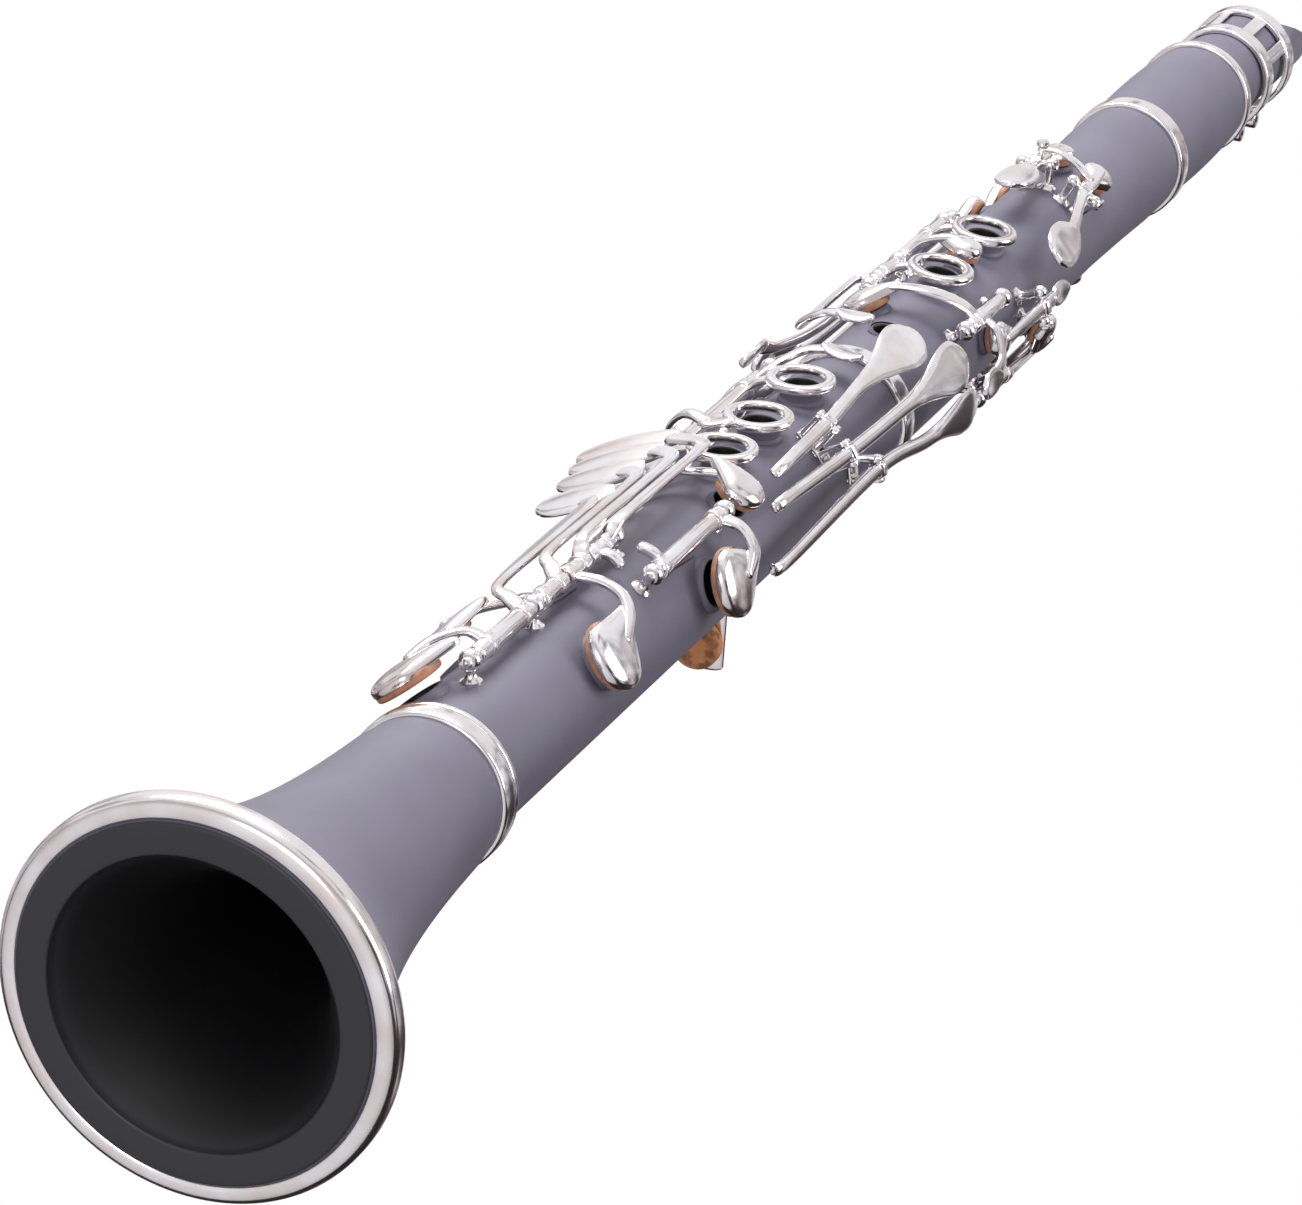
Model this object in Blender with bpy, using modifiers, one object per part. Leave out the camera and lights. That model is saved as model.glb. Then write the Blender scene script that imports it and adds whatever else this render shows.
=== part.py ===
"""B-flat clarinet with seventeen-key Boehm keywork, standing on its bell.

+Z runs up the bore from the bell mouth (z = 0) to the mouthpiece tip. The
front, with the finger rings, faces -Y. Angles turn about +Z from the front
towards +X, so 90 is the player's left side and 180 is the thumb side.
"""
import bmesh
import bpy
import math
from mathutils import Matrix, Vector

MM = 0.001
GAP = 0.3 * MM

# Driving dimensions: the body
BORE_RADIUS = 7.4 * MM
BELL_LENGTH = 105.0 * MM
BELL_RADIUS = 39.5 * MM
BELL_THROAT_RADIUS = 16.0 * MM
BELL_LIP_RADIUS = 28.8 * MM
LOWER_LENGTH = 222.0 * MM
LOWER_RADIUS = 14.5 * MM
UPPER_LENGTH = 196.0 * MM
UPPER_RADIUS = 14.0 * MM
UPPER_TOP_RADIUS = 14.6 * MM
BARREL_LENGTH = 62.0 * MM
BARREL_RADIUS = 15.0 * MM
MOUTHPIECE_LENGTH = 85.0 * MM
MOUTHPIECE_RADIUS = 12.0 * MM
TENON_LENGTH = 18.0 * MM
TENON_RADIUS = 10.6 * MM
CORK_THICKNESS = 0.9 * MM
RING_PROUD = 0.9 * MM
RING_HEIGHT = 6.5 * MM
MOUTHPIECE_SHIFT = 0.8 * MM
REED_BUTT = 13.0 * MM
LIGATURE_START = 19.0 * MM
LIGATURE_HEIGHT = 24.0 * MM
LUG_SPREAD = 4.3 * MM
SCREW_RADIUS = 1.1 * MM
SCREW_HEAD_RADIUS = 2.3 * MM

# Driving dimensions: the keywork
ROD_RADIUS = 0.9 * MM
TUBE_RADIUS = 2.0 * MM
POST_RADIUS = 1.5 * MM
BALL_RADIUS = 2.4 * MM
POST_LENGTH = 4.0 * MM
TUBE_LIFT = 4.4 * MM
ARM_RADIUS = 1.4 * MM
STRAP_RADIUS = 0.5 * MM
RING_WIRE_RADIUS = 1.0 * MM
RING_LIFT = 3.3 * MM
CHIMNEY_HEIGHT = 3.2 * MM
FINGER_HOLE_RADIUS = 3.9 * MM
CHIMNEY_WALL = 1.0 * MM
CUP_HEIGHT = 2.0 * MM
PAD_THICKNESS = 2.2 * MM
SEAT_HEIGHT = 0.9 * MM
OPEN_PAD = 2.2 * MM
LARGE_CUP_RADIUS = 7.6 * MM
MIDDLE_CUP_RADIUS = 5.6 * MM
SMALL_CUP_RADIUS = 4.3 * MM
TOUCH_THICKNESS = 1.6 * MM
LEDGE_DROP = 9.0 * MM
LEDGE_THICKNESS = 2.2 * MM
REST_CORK = 2.8 * MM

# Heights of the joints' ends, from the bell mouth up
LOWER_BASE = BELL_LENGTH
UPPER_BASE = LOWER_BASE + LOWER_LENGTH
BARREL_BASE = UPPER_BASE + UPPER_LENGTH
MOUTHPIECE_BASE = BARREL_BASE + BARREL_LENGTH
TIP_HEIGHT = MOUTHPIECE_BASE + MOUTHPIECE_LENGTH
SOCKET_RADIUS = TENON_RADIUS + CORK_THICKNESS + GAP
RING_HOLE_RADIUS = FINGER_HOLE_RADIUS + CHIMNEY_WALL + GAP
RING_CENTRE_LIFT = RING_LIFT + RING_WIRE_RADIUS

BODY_STEPS = 28
BELL_STEPS = 32
RING_STEPS = 28
CORK_STEPS = 16

BLACK = (0.045, 0.042, 0.055, 1.0)
NICKEL = (0.78, 0.77, 0.79, 1.0)
TAN = (0.48, 0.22, 0.10, 1.0)
CANE = (0.72, 0.55, 0.28, 1.0)


def low(share):
    """Height on the lower joint; tone holes keep their share of its length."""
    return LOWER_BASE + share * LOWER_LENGTH


def high(share):
    """Height on the upper joint, in the same way."""
    return UPPER_BASE + share * UPPER_LENGTH


def ring_reach(body_radius):
    """Degrees from a finger ring's middle to where its arm meets the hoop."""
    return math.degrees(math.asin((RING_HOLE_RADIUS + RING_WIRE_RADIUS) / (body_radius + RING_CENTRE_LIFT)))


# ---------------------------------------------------------------- scene
def clear_scene():
    for item in list(bpy.data.objects):
        bpy.data.objects.remove(item, do_unlink=True)


def collection(name):
    made = bpy.data.collections.new(name)
    bpy.context.scene.collection.children.link(made)
    return made


def material(name, colour, roughness, metallic):
    made = bpy.data.materials.new(name)
    made.use_nodes = True
    shader = made.node_tree.nodes["Principled BSDF"]
    shader.inputs["Base Color"].default_value = colour
    shader.inputs["Roughness"].default_value = roughness
    shader.inputs["Metallic"].default_value = metallic
    made.diffuse_color = colour
    return made


clear_scene()
PARTS = collection("clarinet")
WORK = collection("work")
HARD_RUBBER = material("hard_rubber", BLACK, 0.55, 0.0)
PLATED_NICKEL = material("plated_nickel", NICKEL, 0.15, 1.0)
SKIN_PAD = material("skin_pad", TAN, 0.7, 0.0)
CORK = material("cork", TAN, 0.9, 0.0)
REED_CANE = material("reed_cane", CANE, 0.6, 0.0)


# ---------------------------------------------------------------- basic shapes
def spot(height, angle, radius):
    """Local frame on the body: x round it, y up the bore, z straight out."""
    turn = math.radians(angle)
    sine, cosine = math.sin(turn), math.cos(turn)
    return Matrix(((cosine, 0.0, sine, radius * sine),
                   (sine, 0.0, -cosine, -radius * cosine),
                   (0.0, 1.0, 0.0, height),
                   (0.0, 0.0, 0.0, 1.0)))


def point(height, angle, radius):
    return spot(height, angle, radius).translation


def adopt(shape, name, finish):
    """Name a finished piece, give it its material and file it as a part."""
    shape.name = name
    shape.data.name = name
    shape.data.materials.clear()
    shape.data.materials.append(finish)
    for holder in list(shape.users_collection):
        holder.objects.unlink(shape)
    PARTS.objects.link(shape)
    shape.data.shade_smooth()
    shape.data.set_sharp_from_angle(angle=math.radians(35.0))
    return shape


def bake(shape, matrix=None):
    """Put a piece's place into its mesh."""
    if matrix is not None:
        shape.matrix_world = matrix
    bpy.context.view_layer.update()
    shape.data.transform(shape.matrix_world)
    shape.matrix_world = Matrix.Identity(4)
    return shape


def cylinder(matrix, radius, depth, sides=12, top_radius=None):
    """Cylinder or cone along the local z, starting at the matrix's origin."""
    bpy.ops.mesh.primitive_cone_add(vertices=sides, radius1=radius,
                                    radius2=radius if top_radius is None else top_radius, depth=depth)
    return bake(bpy.context.object, matrix @ Matrix.Translation((0.0, 0.0, depth / 2.0)))


def block(matrix, size):
    """Box centred on the matrix's origin."""
    bpy.ops.mesh.primitive_cube_add(size=1.0)
    return bake(bpy.context.object, matrix @ Matrix.Diagonal((*size, 1.0)))


def oval(matrix, half_width, half_length, thickness, sides=18):
    """Flat oval plate on the local xy plane, its top at the origin's height."""
    place = matrix @ Matrix.Translation((0.0, 0.0, -thickness)) @ Matrix.Diagonal((half_width,
                                                                                   half_length, 1.0, 1.0))
    return cylinder(place, 1.0, thickness, sides)


def ring(matrix, hole_radius, wire_radius, around=14, across=5):
    bpy.ops.mesh.primitive_torus_add(major_radius=hole_radius + wire_radius, minor_radius=wire_radius,
                                     major_segments=around, minor_segments=across)
    return bake(bpy.context.object, matrix)


def along(first, last):
    """Matrix at first whose z points at last."""
    run = last - first
    return Matrix.Translation(first) @ run.to_track_quat("Z", "Y").to_matrix().to_4x4()


def rod(first, last, radius, sides=8):
    return cylinder(along(first, last), radius, (last - first).length, sides)


def arm(stops, radius=ARM_RADIUS):
    """Round arm through (height, angle, radius) stops, bent round the body."""
    points = []
    for start, end in zip(stops, stops[1:]):
        pieces = max(1, math.ceil(abs(end[1] - start[1]) / 16.0))
        for step in range(pieces):
            share = step / pieces
            points.append(point(*(a + (b - a) * share for a, b in zip(start, end))))
    points.append(point(*stops[-1]))
    curve = bpy.data.curves.new("arm", "CURVE")
    curve.dimensions = "3D"
    curve.bevel_depth = radius
    curve.bevel_resolution = 0
    curve.use_fill_caps = True
    spline = curve.splines.new("POLY")
    spline.points.add(len(points) - 1)
    for knot, place in zip(spline.points, points):
        knot.co = (*place, 1.0)
    holder = bpy.data.objects.new("arm", curve)
    WORK.objects.link(holder)
    graph = bpy.context.evaluated_depsgraph_get()
    mesh = bpy.data.meshes.new_from_object(holder.evaluated_get(graph))
    shell = bmesh.new()
    shell.from_mesh(mesh)
    bmesh.ops.remove_doubles(shell, verts=shell.verts, dist=1e-6)
    bmesh.ops.recalc_face_normals(shell, faces=shell.faces)
    shell.to_mesh(mesh)
    shell.free()
    bpy.data.objects.remove(holder, do_unlink=True)
    made = bpy.data.objects.new("arm", mesh)
    WORK.objects.link(made)
    return made


def combine(operation, base, others):
    """Boolean of one piece with a list of others, which are used up."""
    group = bpy.data.collections.new("operands")
    bpy.context.scene.collection.children.link(group)
    for other in others:
        for holder in list(other.users_collection):
            holder.objects.unlink(other)
        group.objects.link(other)
    change = base.modifiers.new(operation.lower(), "BOOLEAN")
    change.operation = operation
    change.operand_type = "COLLECTION"
    change.collection = group
    change.solver = "EXACT"
    bpy.context.view_layer.update()
    graph = bpy.context.evaluated_depsgraph_get()
    mesh = bpy.data.meshes.new_from_object(base.evaluated_get(graph))
    base.modifiers.clear()
    base.data = mesh
    for other in others:
        bpy.data.objects.remove(other, do_unlink=True)
    bpy.data.collections.remove(group)
    return base


def join(shapes):
    return combine("UNION", shapes[0], shapes[1:]) if len(shapes) > 1 else shapes[0]


def cut(base, cutters):
    return combine("DIFFERENCE", base, cutters)


def turned(name, outline, finish, steps=BODY_STEPS):
    """Turned piece: (radius, height) points down the outside, then up the inside."""
    mesh = bpy.data.meshes.new(name)
    corners = [(radius, 0.0, height) for radius, height in outline]
    edges = [(i, (i + 1) % len(corners)) for i in range(len(corners))]
    mesh.from_pydata(corners, edges, [])
    shape = bpy.data.objects.new(name, mesh)
    WORK.objects.link(shape)
    screw = shape.modifiers.new("turn", "SCREW")
    screw.steps = steps
    screw.render_steps = steps
    screw.merge_threshold = 1e-6
    bpy.context.view_layer.update()
    graph = bpy.context.evaluated_depsgraph_get()
    shape.data = bpy.data.meshes.new_from_object(shape.evaluated_get(graph))
    shape.modifiers.clear()
    return adopt(shape, name, finish)


# ---------------------------------------------------------------- the turned body
def tenon(low_end, high_end):
    """Outline of a joint's tenon, top to bottom."""
    return [(TENON_RADIUS, high_end), (TENON_RADIUS, low_end)]


def make_bell():
    socket_floor = BELL_LENGTH - TENON_LENGTH - GAP
    edge = BELL_RADIUS - 3.2 * MM
    flare = BELL_LIP_RADIUS - BORE_RADIUS
    outline = [(BELL_THROAT_RADIUS - RING_PROUD, BELL_LENGTH),
               (BELL_THROAT_RADIUS - RING_PROUD, BELL_LENGTH - RING_HEIGHT - GAP),
               (BELL_THROAT_RADIUS, BELL_LENGTH - RING_HEIGHT - GAP)]
    for share in (0.77, 0.66, 0.55, 0.45, 0.34, 0.24, 0.15, 0.085):
        spread = math.exp(-share / 0.235) * 1.06
        outline.append((BELL_THROAT_RADIUS + (BELL_RADIUS - BELL_THROAT_RADIUS) * spread,
                        share * BELL_LENGTH))
    outline += [(edge, 6.6 * MM), (edge, 2.0 * MM), (edge - 0.8 * MM, 0.0), (BELL_LIP_RADIUS, 0.0)]
    for share in (0.05, 0.12, 0.22, 0.36, 0.55):
        outline.append((BORE_RADIUS + 2.0 * MM + flare * 0.92 * math.exp(-share / 0.2),
                        share * BELL_LENGTH))
    outline += [(BORE_RADIUS + 1.5 * MM, socket_floor), (SOCKET_RADIUS, socket_floor),
                (SOCKET_RADIUS, BELL_LENGTH)]
    turned("bell", outline, HARD_RUBBER, BELL_STEPS)
    inner = edge + GAP
    turned("bell_rim_ring",
           [(inner, 6.0 * MM), (BELL_RADIUS - 0.9 * MM, 6.4 * MM), (BELL_RADIUS, 4.6 * MM),
                             (BELL_RADIUS, 3.0 * MM), (BELL_RADIUS - 1.2 * MM, 1.6 * MM),
                             (inner, 1.2 * MM)],
           PLATED_NICKEL, BELL_STEPS)


def socket_ring(name, seat_radius, low_end, steps=RING_STEPS):
    """Rounded metal ring that keeps a socket's mouth from splitting."""
    outer = seat_radius + GAP + 1.5 * MM
    inner = seat_radius + GAP
    high_end = low_end + RING_HEIGHT
    turned(name, [(outer - 0.5 * MM, high_end), (outer, high_end - 0.9 * MM), (outer, low_end + 0.9 * MM),
                  (outer - 0.5 * MM, low_end), (inner, low_end), (inner, high_end)], PLATED_NICKEL, steps)


def finger_hole(height, angle, body_radius, chimney=CHIMNEY_HEIGHT, bore=FINGER_HOLE_RADIUS, sides=14):
    """Chimney that a finger closes, and the drill that opens it to the bore."""
    depth = body_radius - BORE_RADIUS - 1.0 * MM
    wall = cylinder(spot(height, angle, body_radius - depth), bore + CHIMNEY_WALL, depth + chimney, sides)
    drill = cylinder(spot(height, angle, BORE_RADIUS - 2.5 * MM), bore, body_radius, sides)
    return wall, drill


def pad_hole(height, angle, body_radius, cup_radius):
    """Raised seat under a pad cup, and its drill."""
    return finger_hole(height, angle, body_radius, SEAT_HEIGHT, cup_radius * 0.62, 8)


def make_joint(name, outline, holes):
    shape = turned(name, outline, HARD_RUBBER)
    walls = [wall for wall, _ in holes]
    drills = [drill for _, drill in holes]
    join([shape] + walls)
    cut(shape, drills)
    return adopt(shape, name, HARD_RUBBER)


def make_lower_joint():
    base = LOWER_BASE + GAP
    top = UPPER_BASE - GAP
    ring_seat = LOWER_RADIUS - 0.4 * MM
    outline = [(ring_seat, top), (ring_seat, top - RING_HEIGHT - GAP),
               (LOWER_RADIUS, top - RING_HEIGHT - GAP),
               (LOWER_RADIUS, base), *tenon(base - TENON_LENGTH, base),
               (BORE_RADIUS, base - TENON_LENGTH),
               (BORE_RADIUS, top - TENON_LENGTH - 2.0 * GAP),
               (SOCKET_RADIUS, top - TENON_LENGTH - 2.0 * GAP),
               (SOCKET_RADIUS, top)]
    holes = [finger_hole(low(share), 0.0, LOWER_RADIUS) for share in RIGHT_HAND_HOLES]
    holes += [pad_hole(low(key["height"]), key["angle"], LOWER_RADIUS,
                       key["radius"]) for key in LOWER_PADS]
    make_joint("lower_joint", outline, holes)
    socket_ring("joint_ring", ring_seat, top - RING_HEIGHT)


def make_upper_joint():
    base = UPPER_BASE + GAP
    top = BARREL_BASE - GAP
    swell = high(0.72)
    outline = [(TENON_RADIUS, top + TENON_LENGTH), (TENON_RADIUS, top), (UPPER_TOP_RADIUS, top),
               (UPPER_TOP_RADIUS, high(0.93)), (UPPER_RADIUS - 0.4 * MM, swell),
               (UPPER_RADIUS, high(0.5)),
               (UPPER_RADIUS, base), *tenon(base - TENON_LENGTH, base),
               (BORE_RADIUS, base - TENON_LENGTH),
               (BORE_RADIUS, top + TENON_LENGTH)]
    holes = [finger_hole(high(share), LEFT_RING_ANGLE, UPPER_RADIUS) for share in LEFT_HAND_HOLES]
    holes.append(finger_hole(high(THIRD_HOLE), LEFT_RING_ANGLE, UPPER_RADIUS, 0.3 * MM, 3.2 * MM))
    holes.append(finger_hole(high(THUMB_HOLE), 180.0, UPPER_RADIUS))
    holes += [pad_hole(high(key["height"]), key["angle"], UPPER_RADIUS,
                       key["radius"]) for key in UPPER_PADS]
    make_joint("upper_joint", outline, holes)


def make_barrel():
    base = BARREL_BASE
    top = MOUTHPIECE_BASE - GAP
    seat = BARREL_RADIUS - 1.3 * MM
    floor = base + TENON_LENGTH + GAP
    shelf = top - TENON_LENGTH - GAP
    outline = [(seat, top), (seat, top - RING_HEIGHT * 0.5 - GAP),
               (seat + 0.4 * MM, top - RING_HEIGHT * 0.5 - GAP),
               (BARREL_RADIUS, base + 0.56 * BARREL_LENGTH), (seat + 0.8 * MM, base + RING_HEIGHT + GAP),
               (seat, base + RING_HEIGHT + GAP), (seat, base), (SOCKET_RADIUS, base),
               (SOCKET_RADIUS, floor),
               (BORE_RADIUS, floor), (BORE_RADIUS, shelf), (SOCKET_RADIUS, shelf), (SOCKET_RADIUS, top)]
    turned("barrel", outline, HARD_RUBBER)
    socket_ring("barrel_lower_ring", seat, base)
    upper = seat + GAP
    low_end = top - RING_HEIGHT * 0.5
    turned("barrel_upper_ring", [(upper + 0.9 * MM, top), (upper + 1.2 * MM, top - 0.8 * MM),
                                 (upper + 1.2 * MM, low_end + 0.6 * MM), (upper + 0.9 * MM, low_end),
                                 (upper, low_end), (upper, top)], PLATED_NICKEL, RING_STEPS)


def make_corks():
    """Cork sleeves on the four tenons, sealed inside the sockets."""
    places = {"bell_tenon_cork": LOWER_BASE + GAP - TENON_LENGTH,
              "middle_tenon_cork": UPPER_BASE + GAP - TENON_LENGTH,
              "barrel_tenon_cork": BARREL_BASE - GAP, "mouthpiece_cork": MOUTHPIECE_BASE - TENON_LENGTH}
    for name, low_end in places.items():
        inner = (TENON_RADIUS + 0.1 * MM) / math.cos(math.pi / CORK_STEPS)
        outer = TENON_RADIUS + CORK_THICKNESS
        first = low_end + 2.0 * MM
        last = low_end + TENON_LENGTH - 2.0 * MM
        turned(name, [(outer, last), (outer, first), (inner, first), (inner, last)], CORK, CORK_STEPS)


# ---------------------------------------------------------------- mouthpiece, reed, ligature
def make_mouthpiece():
    base = MOUTHPIECE_BASE
    table = MOUTHPIECE_RADIUS - 2.6 * MM
    shoulder = 0.44 * MOUTHPIECE_LENGTH
    bottom = base - TENON_LENGTH
    outline = [(MOUTHPIECE_RADIUS - 2.0 * MM, TIP_HEIGHT),
               (MOUTHPIECE_RADIUS - 0.6 * MM, base + shoulder),
               (MOUTHPIECE_RADIUS, base + 3.0 * MM), (MOUTHPIECE_RADIUS - 0.6 * MM, base),
               (TENON_RADIUS, base), (TENON_RADIUS, bottom), (BORE_RADIUS, bottom),
               (BORE_RADIUS - 0.6 * MM, base + shoulder + 8.0 * MM), (2.5 * MM, TIP_HEIGHT - 14.0 * MM),
               (2.5 * MM, TIP_HEIGHT)]
    shape = turned("mouthpiece", outline, HARD_RUBBER, 28)
    reach = 40.0 * MM
    length = MOUTHPIECE_LENGTH - shoulder
    tip_y = 6.5 * MM
    rise = tip_y - 0.7 * MM + MOUTHPIECE_RADIUS
    slope = math.atan2(rise, length)
    nose = Matrix.Translation((0.0, -MOUTHPIECE_RADIUS, base + shoulder)) @ Matrix.Rotation(-slope, 4,
                                                                                            "X")
    beak = block(nose @ Matrix.Translation((0.0, -reach / 2.0, reach / 2.0)), (reach, reach, 3.0 * reach))
    lay = block(Matrix.Translation((0.0, table + reach / 2.0, base + 7.0 * MM + MOUTHPIECE_LENGTH / 2.0)),
                (reach, reach, MOUTHPIECE_LENGTH))
    tip_turn = math.atan2(table - tip_y, 24.0 * MM)
    facing = Matrix.Translation((0.0, table, TIP_HEIGHT - 24.0 * MM)) @ Matrix.Rotation(tip_turn, 4, "X")
    tip = block(facing @ Matrix.Translation((0.0, reach / 2.0, reach / 2.0)), (reach, reach, reach))
    sides = []
    for side in (-1.0, 1.0):
        lean = Matrix.Translation((side * MOUTHPIECE_RADIUS, 0.0, base + shoulder)) @ Matrix.Rotation(
            -side * math.atan2(MOUTHPIECE_RADIUS - 6.6 * MM, length), 4, "Y")
        sides.append(block(lean @ Matrix.Translation((side * reach / 2.0, 0.0, reach)),
                           (reach, 2.0 * reach, 2.0 * reach)))
    window = block(Matrix.Translation((0.0, table, TIP_HEIGHT - 21.0 * MM)),
                   (9.5 * MM, 2.0 * table, 32.0 * MM))
    cut(shape, [beak, lay, tip, window] + sides)
    adopt(shape, "mouthpiece", HARD_RUBBER)


def make_reed():
    table = MOUTHPIECE_RADIUS - 2.6 * MM + GAP
    base = MOUTHPIECE_BASE + REED_BUTT
    thick = 2.7 * MM
    cut_height = TIP_HEIGHT - 33.0 * MM
    shell = bmesh.new()
    rows = ((base, thick, 5.6 * MM), (cut_height, thick, 6.2 * MM),
            (TIP_HEIGHT - 0.5 * MM, 0.5 * MM, 6.5 * MM))
    loops = []
    for height, depth, half in rows:
        corners = ((-half, table), (half, table), (half * 0.72, table + depth),
                   (-half * 0.72, table + depth))
        loops.append([shell.verts.new((x, y, height)) for x, y in corners])
    for lower, upper in zip(loops, loops[1:]):
        for i in range(4):
            shell.faces.new((lower[i], lower[(i + 1) % 4], upper[(i + 1) % 4], upper[i]))
    shell.faces.new(loops[0])
    shell.faces.new(loops[-1])
    bmesh.ops.recalc_face_normals(shell, faces=shell.faces)
    mesh = bpy.data.meshes.new("reed")
    shell.to_mesh(mesh)
    shell.free()
    adopt(bpy.data.objects.new("reed", mesh), "reed", REED_CANE)


def make_ligature():
    """Split band with two screw lugs on the reed side."""
    first = MOUTHPIECE_BASE + LIGATURE_START
    last = first + LIGATURE_HEIGHT
    inner = MOUTHPIECE_RADIUS + GAP + MOUTHPIECE_SHIFT
    outer = inner + 0.8 * MM
    band = turned("ligature", [(outer, last), (outer, first), (inner, first), (inner, last)],
                  PLATED_NICKEL, 28)
    band.data.transform(Matrix.Translation((0.0, MOUTHPIECE_SHIFT, 0.0)))
    lug_y = MOUTHPIECE_SHIFT + inner + 2.4 * MM
    heights = (first + 5.5 * MM, last - 5.5 * MM)
    lugs = []
    for height in heights:
        for side in (-1.0, 1.0):
            lugs.append(block(Matrix.Translation((side * LUG_SPREAD, lug_y, height)),
                              (3.6 * MM, 5.6 * MM, 5.0 * MM)))
    join([band] + lugs)
    slot = block(Matrix.Translation((0.0, lug_y, (first + last) / 2.0)), (4.0 * MM, 8.0 * MM, 30.0 * MM))
    screw_y = lug_y + 0.6 * MM
    drills = [rod(Vector((-9.0 * MM, screw_y, height)), Vector((9.0 * MM, screw_y, height)),
                  SCREW_RADIUS + GAP)
              for height in heights]
    cut(band, [slot] + drills)
    adopt(band, "ligature", PLATED_NICKEL)
    for name, height in zip(("ligature_screw_low", "ligature_screw_high"), heights):
        shaft = rod(Vector((6.6 * MM, screw_y, height)), Vector((-9.0 * MM, screw_y, height)),
                    SCREW_RADIUS)
        head = rod(Vector((-7.0 * MM, screw_y, height)), Vector((-12.5 * MM, screw_y, height)),
                   SCREW_HEAD_RADIUS, 12)
        adopt(join([head, shaft]), name, PLATED_NICKEL)


# ---------------------------------------------------------------- keywork tools
def seat_lift(body_radius, pad_open):
    """Distance from the bore's axis to a cup's underside."""
    return body_radius + SEAT_HEIGHT + GAP + pad_open + PAD_THICKNESS


def cup(height, angle, body_radius, radius, pad_open=0.0):
    """Shallow domed cup over a pad."""
    place = spot(height, angle, seat_lift(body_radius, pad_open) + GAP)
    return cylinder(place, radius, CUP_HEIGHT, 14, radius * 0.55)


def make_pad(name, height, angle, body_radius, radius, pad_open=0.0):
    place = spot(height, angle, seat_lift(body_radius, pad_open) - PAD_THICKNESS)
    adopt(cylinder(place, radius - GAP, PAD_THICKNESS, 14), name, SKIN_PAD)


def cup_top(body_radius, pad_open=0.0):
    return seat_lift(body_radius, pad_open) + GAP + CUP_HEIGHT * 0.6


def upright_line(name, angle, body_radius, heights, lift=TUBE_LIFT):
    """Posts with their steel rod, parallel to the bore: the first and last post hold the rod's ends."""
    centre = body_radius + lift
    pieces = [rod(point(heights[0], angle, centre), point(heights[-1], angle, centre), ROD_RADIUS)]
    for height in heights:
        foot = spot(height, angle, body_radius + GAP)
        pieces.append(cylinder(foot, POST_RADIUS, lift - GAP, 8))
        half = Vector((0.0, 0.0, POST_LENGTH / 2.0))
        centre_point = point(height, angle, centre)
        pieces.append(rod(centre_point - half, centre_point + half, BALL_RADIUS))
    adopt(join(pieces), name, PLATED_NICKEL)


def upright_tube(angle, body_radius, first, last, lift=TUBE_LIFT):
    centre = body_radius + lift
    return rod(point(first, angle, centre), point(last, angle, centre), TUBE_RADIUS, 10)


def upright_key(name, angle, body_radius, first, last, pieces, lift=TUBE_LIFT):
    """Key whose tube turns on an upright rod."""
    shape = join([upright_tube(angle, body_radius, first, last, lift)] + pieces)
    centre = body_radius + lift
    reach = 2.0 * MM
    cut(shape, [rod(point(first - reach, angle, centre), point(last + reach, angle, centre),
                    ROD_RADIUS + GAP)])
    adopt(shape, name, PLATED_NICKEL)


def cross_pin(height, angle, centre, half_width, radius, sides=8):
    place = spot(height, angle, centre)
    side = Vector(place.col[0][:3])
    return rod(place.translation - side * half_width, place.translation + side * half_width, radius,
               sides)


def saddle(name, pivots, body_radius, boss_width=3.0 * MM):
    """Cheek plates and cross pins that carry levers, on feet that a strap ties into one piece."""
    pieces = []
    for height, angle, lift in pivots:
        centre = body_radius + lift
        half = boss_width / 2.0 + GAP
        pieces.append(cross_pin(height, angle, centre, half + 1.0 * MM, ROD_RADIUS))
        for side in (-1.0, 1.0):
            place = spot(height, angle, body_radius + GAP + 0.5 * MM)
            shift = Matrix.Translation((side * (half + 0.6 * MM), 0.0,
                                        (lift + 1.2 * MM) / 2.0 - 0.5 * MM))
            pieces.append(block(place @ shift, (1.2 * MM, 4.2 * MM, lift + 1.2 * MM)))
        foot = spot(height, angle, body_radius + GAP + 0.5 * MM)
        pieces.append(block(foot, (2.0 * half + 1.8 * MM, 4.8 * MM, 0.8 * MM)))
    if len(pivots) > 1:
        pieces.append(arm([(height, angle, body_radius + GAP + STRAP_RADIUS) for height, angle,
                           _ in pivots], STRAP_RADIUS))
    adopt(join(pieces), name, PLATED_NICKEL)


def lever(name, pivot, body_radius, pieces, boss_width=3.0 * MM):
    """Key that rocks on a cross pin."""
    height, angle, lift = pivot
    centre = body_radius + lift
    boss = cross_pin(height, angle, centre, boss_width / 2.0, TUBE_RADIUS, 10)
    shape = join([boss] + pieces)
    cut(shape, [cross_pin(height, angle, centre, boss_width, ROD_RADIUS + GAP)])
    adopt(shape, name, PLATED_NICKEL)


# ---------------------------------------------------------------- where the keys are
RIGHT_HAND_HOLES = (0.847, 0.734, 0.640)
LEFT_HAND_HOLES = (0.408, 0.255)
THIRD_HOLE = 0.082
LEFT_RING_ANGLE = 7.0
THUMB_HOLE = 0.385

LOW_E = {"height": 0.045, "angle": -40.0, "radius": LARGE_CUP_RADIUS}
LOW_F = {"height": 0.155, "angle": -52.0, "radius": LARGE_CUP_RADIUS}
A_FLAT = {"height": 0.226, "angle": 54.0, "radius": LARGE_CUP_RADIUS}
LOW_F_SHARP = {"height": 0.468, "angle": 70.0, "radius": LARGE_CUP_RADIUS}
RING_CUP = {"height": 0.572, "angle": 30.0, "radius": MIDDLE_CUP_RADIUS}
RIGHT_SLIVER = {"height": 0.878, "angle": -70.0, "radius": MIDDLE_CUP_RADIUS}
LOWER_PADS = (LOW_E, LOW_F, A_FLAT, LOW_F_SHARP, RING_CUP, RIGHT_SLIVER)

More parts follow.
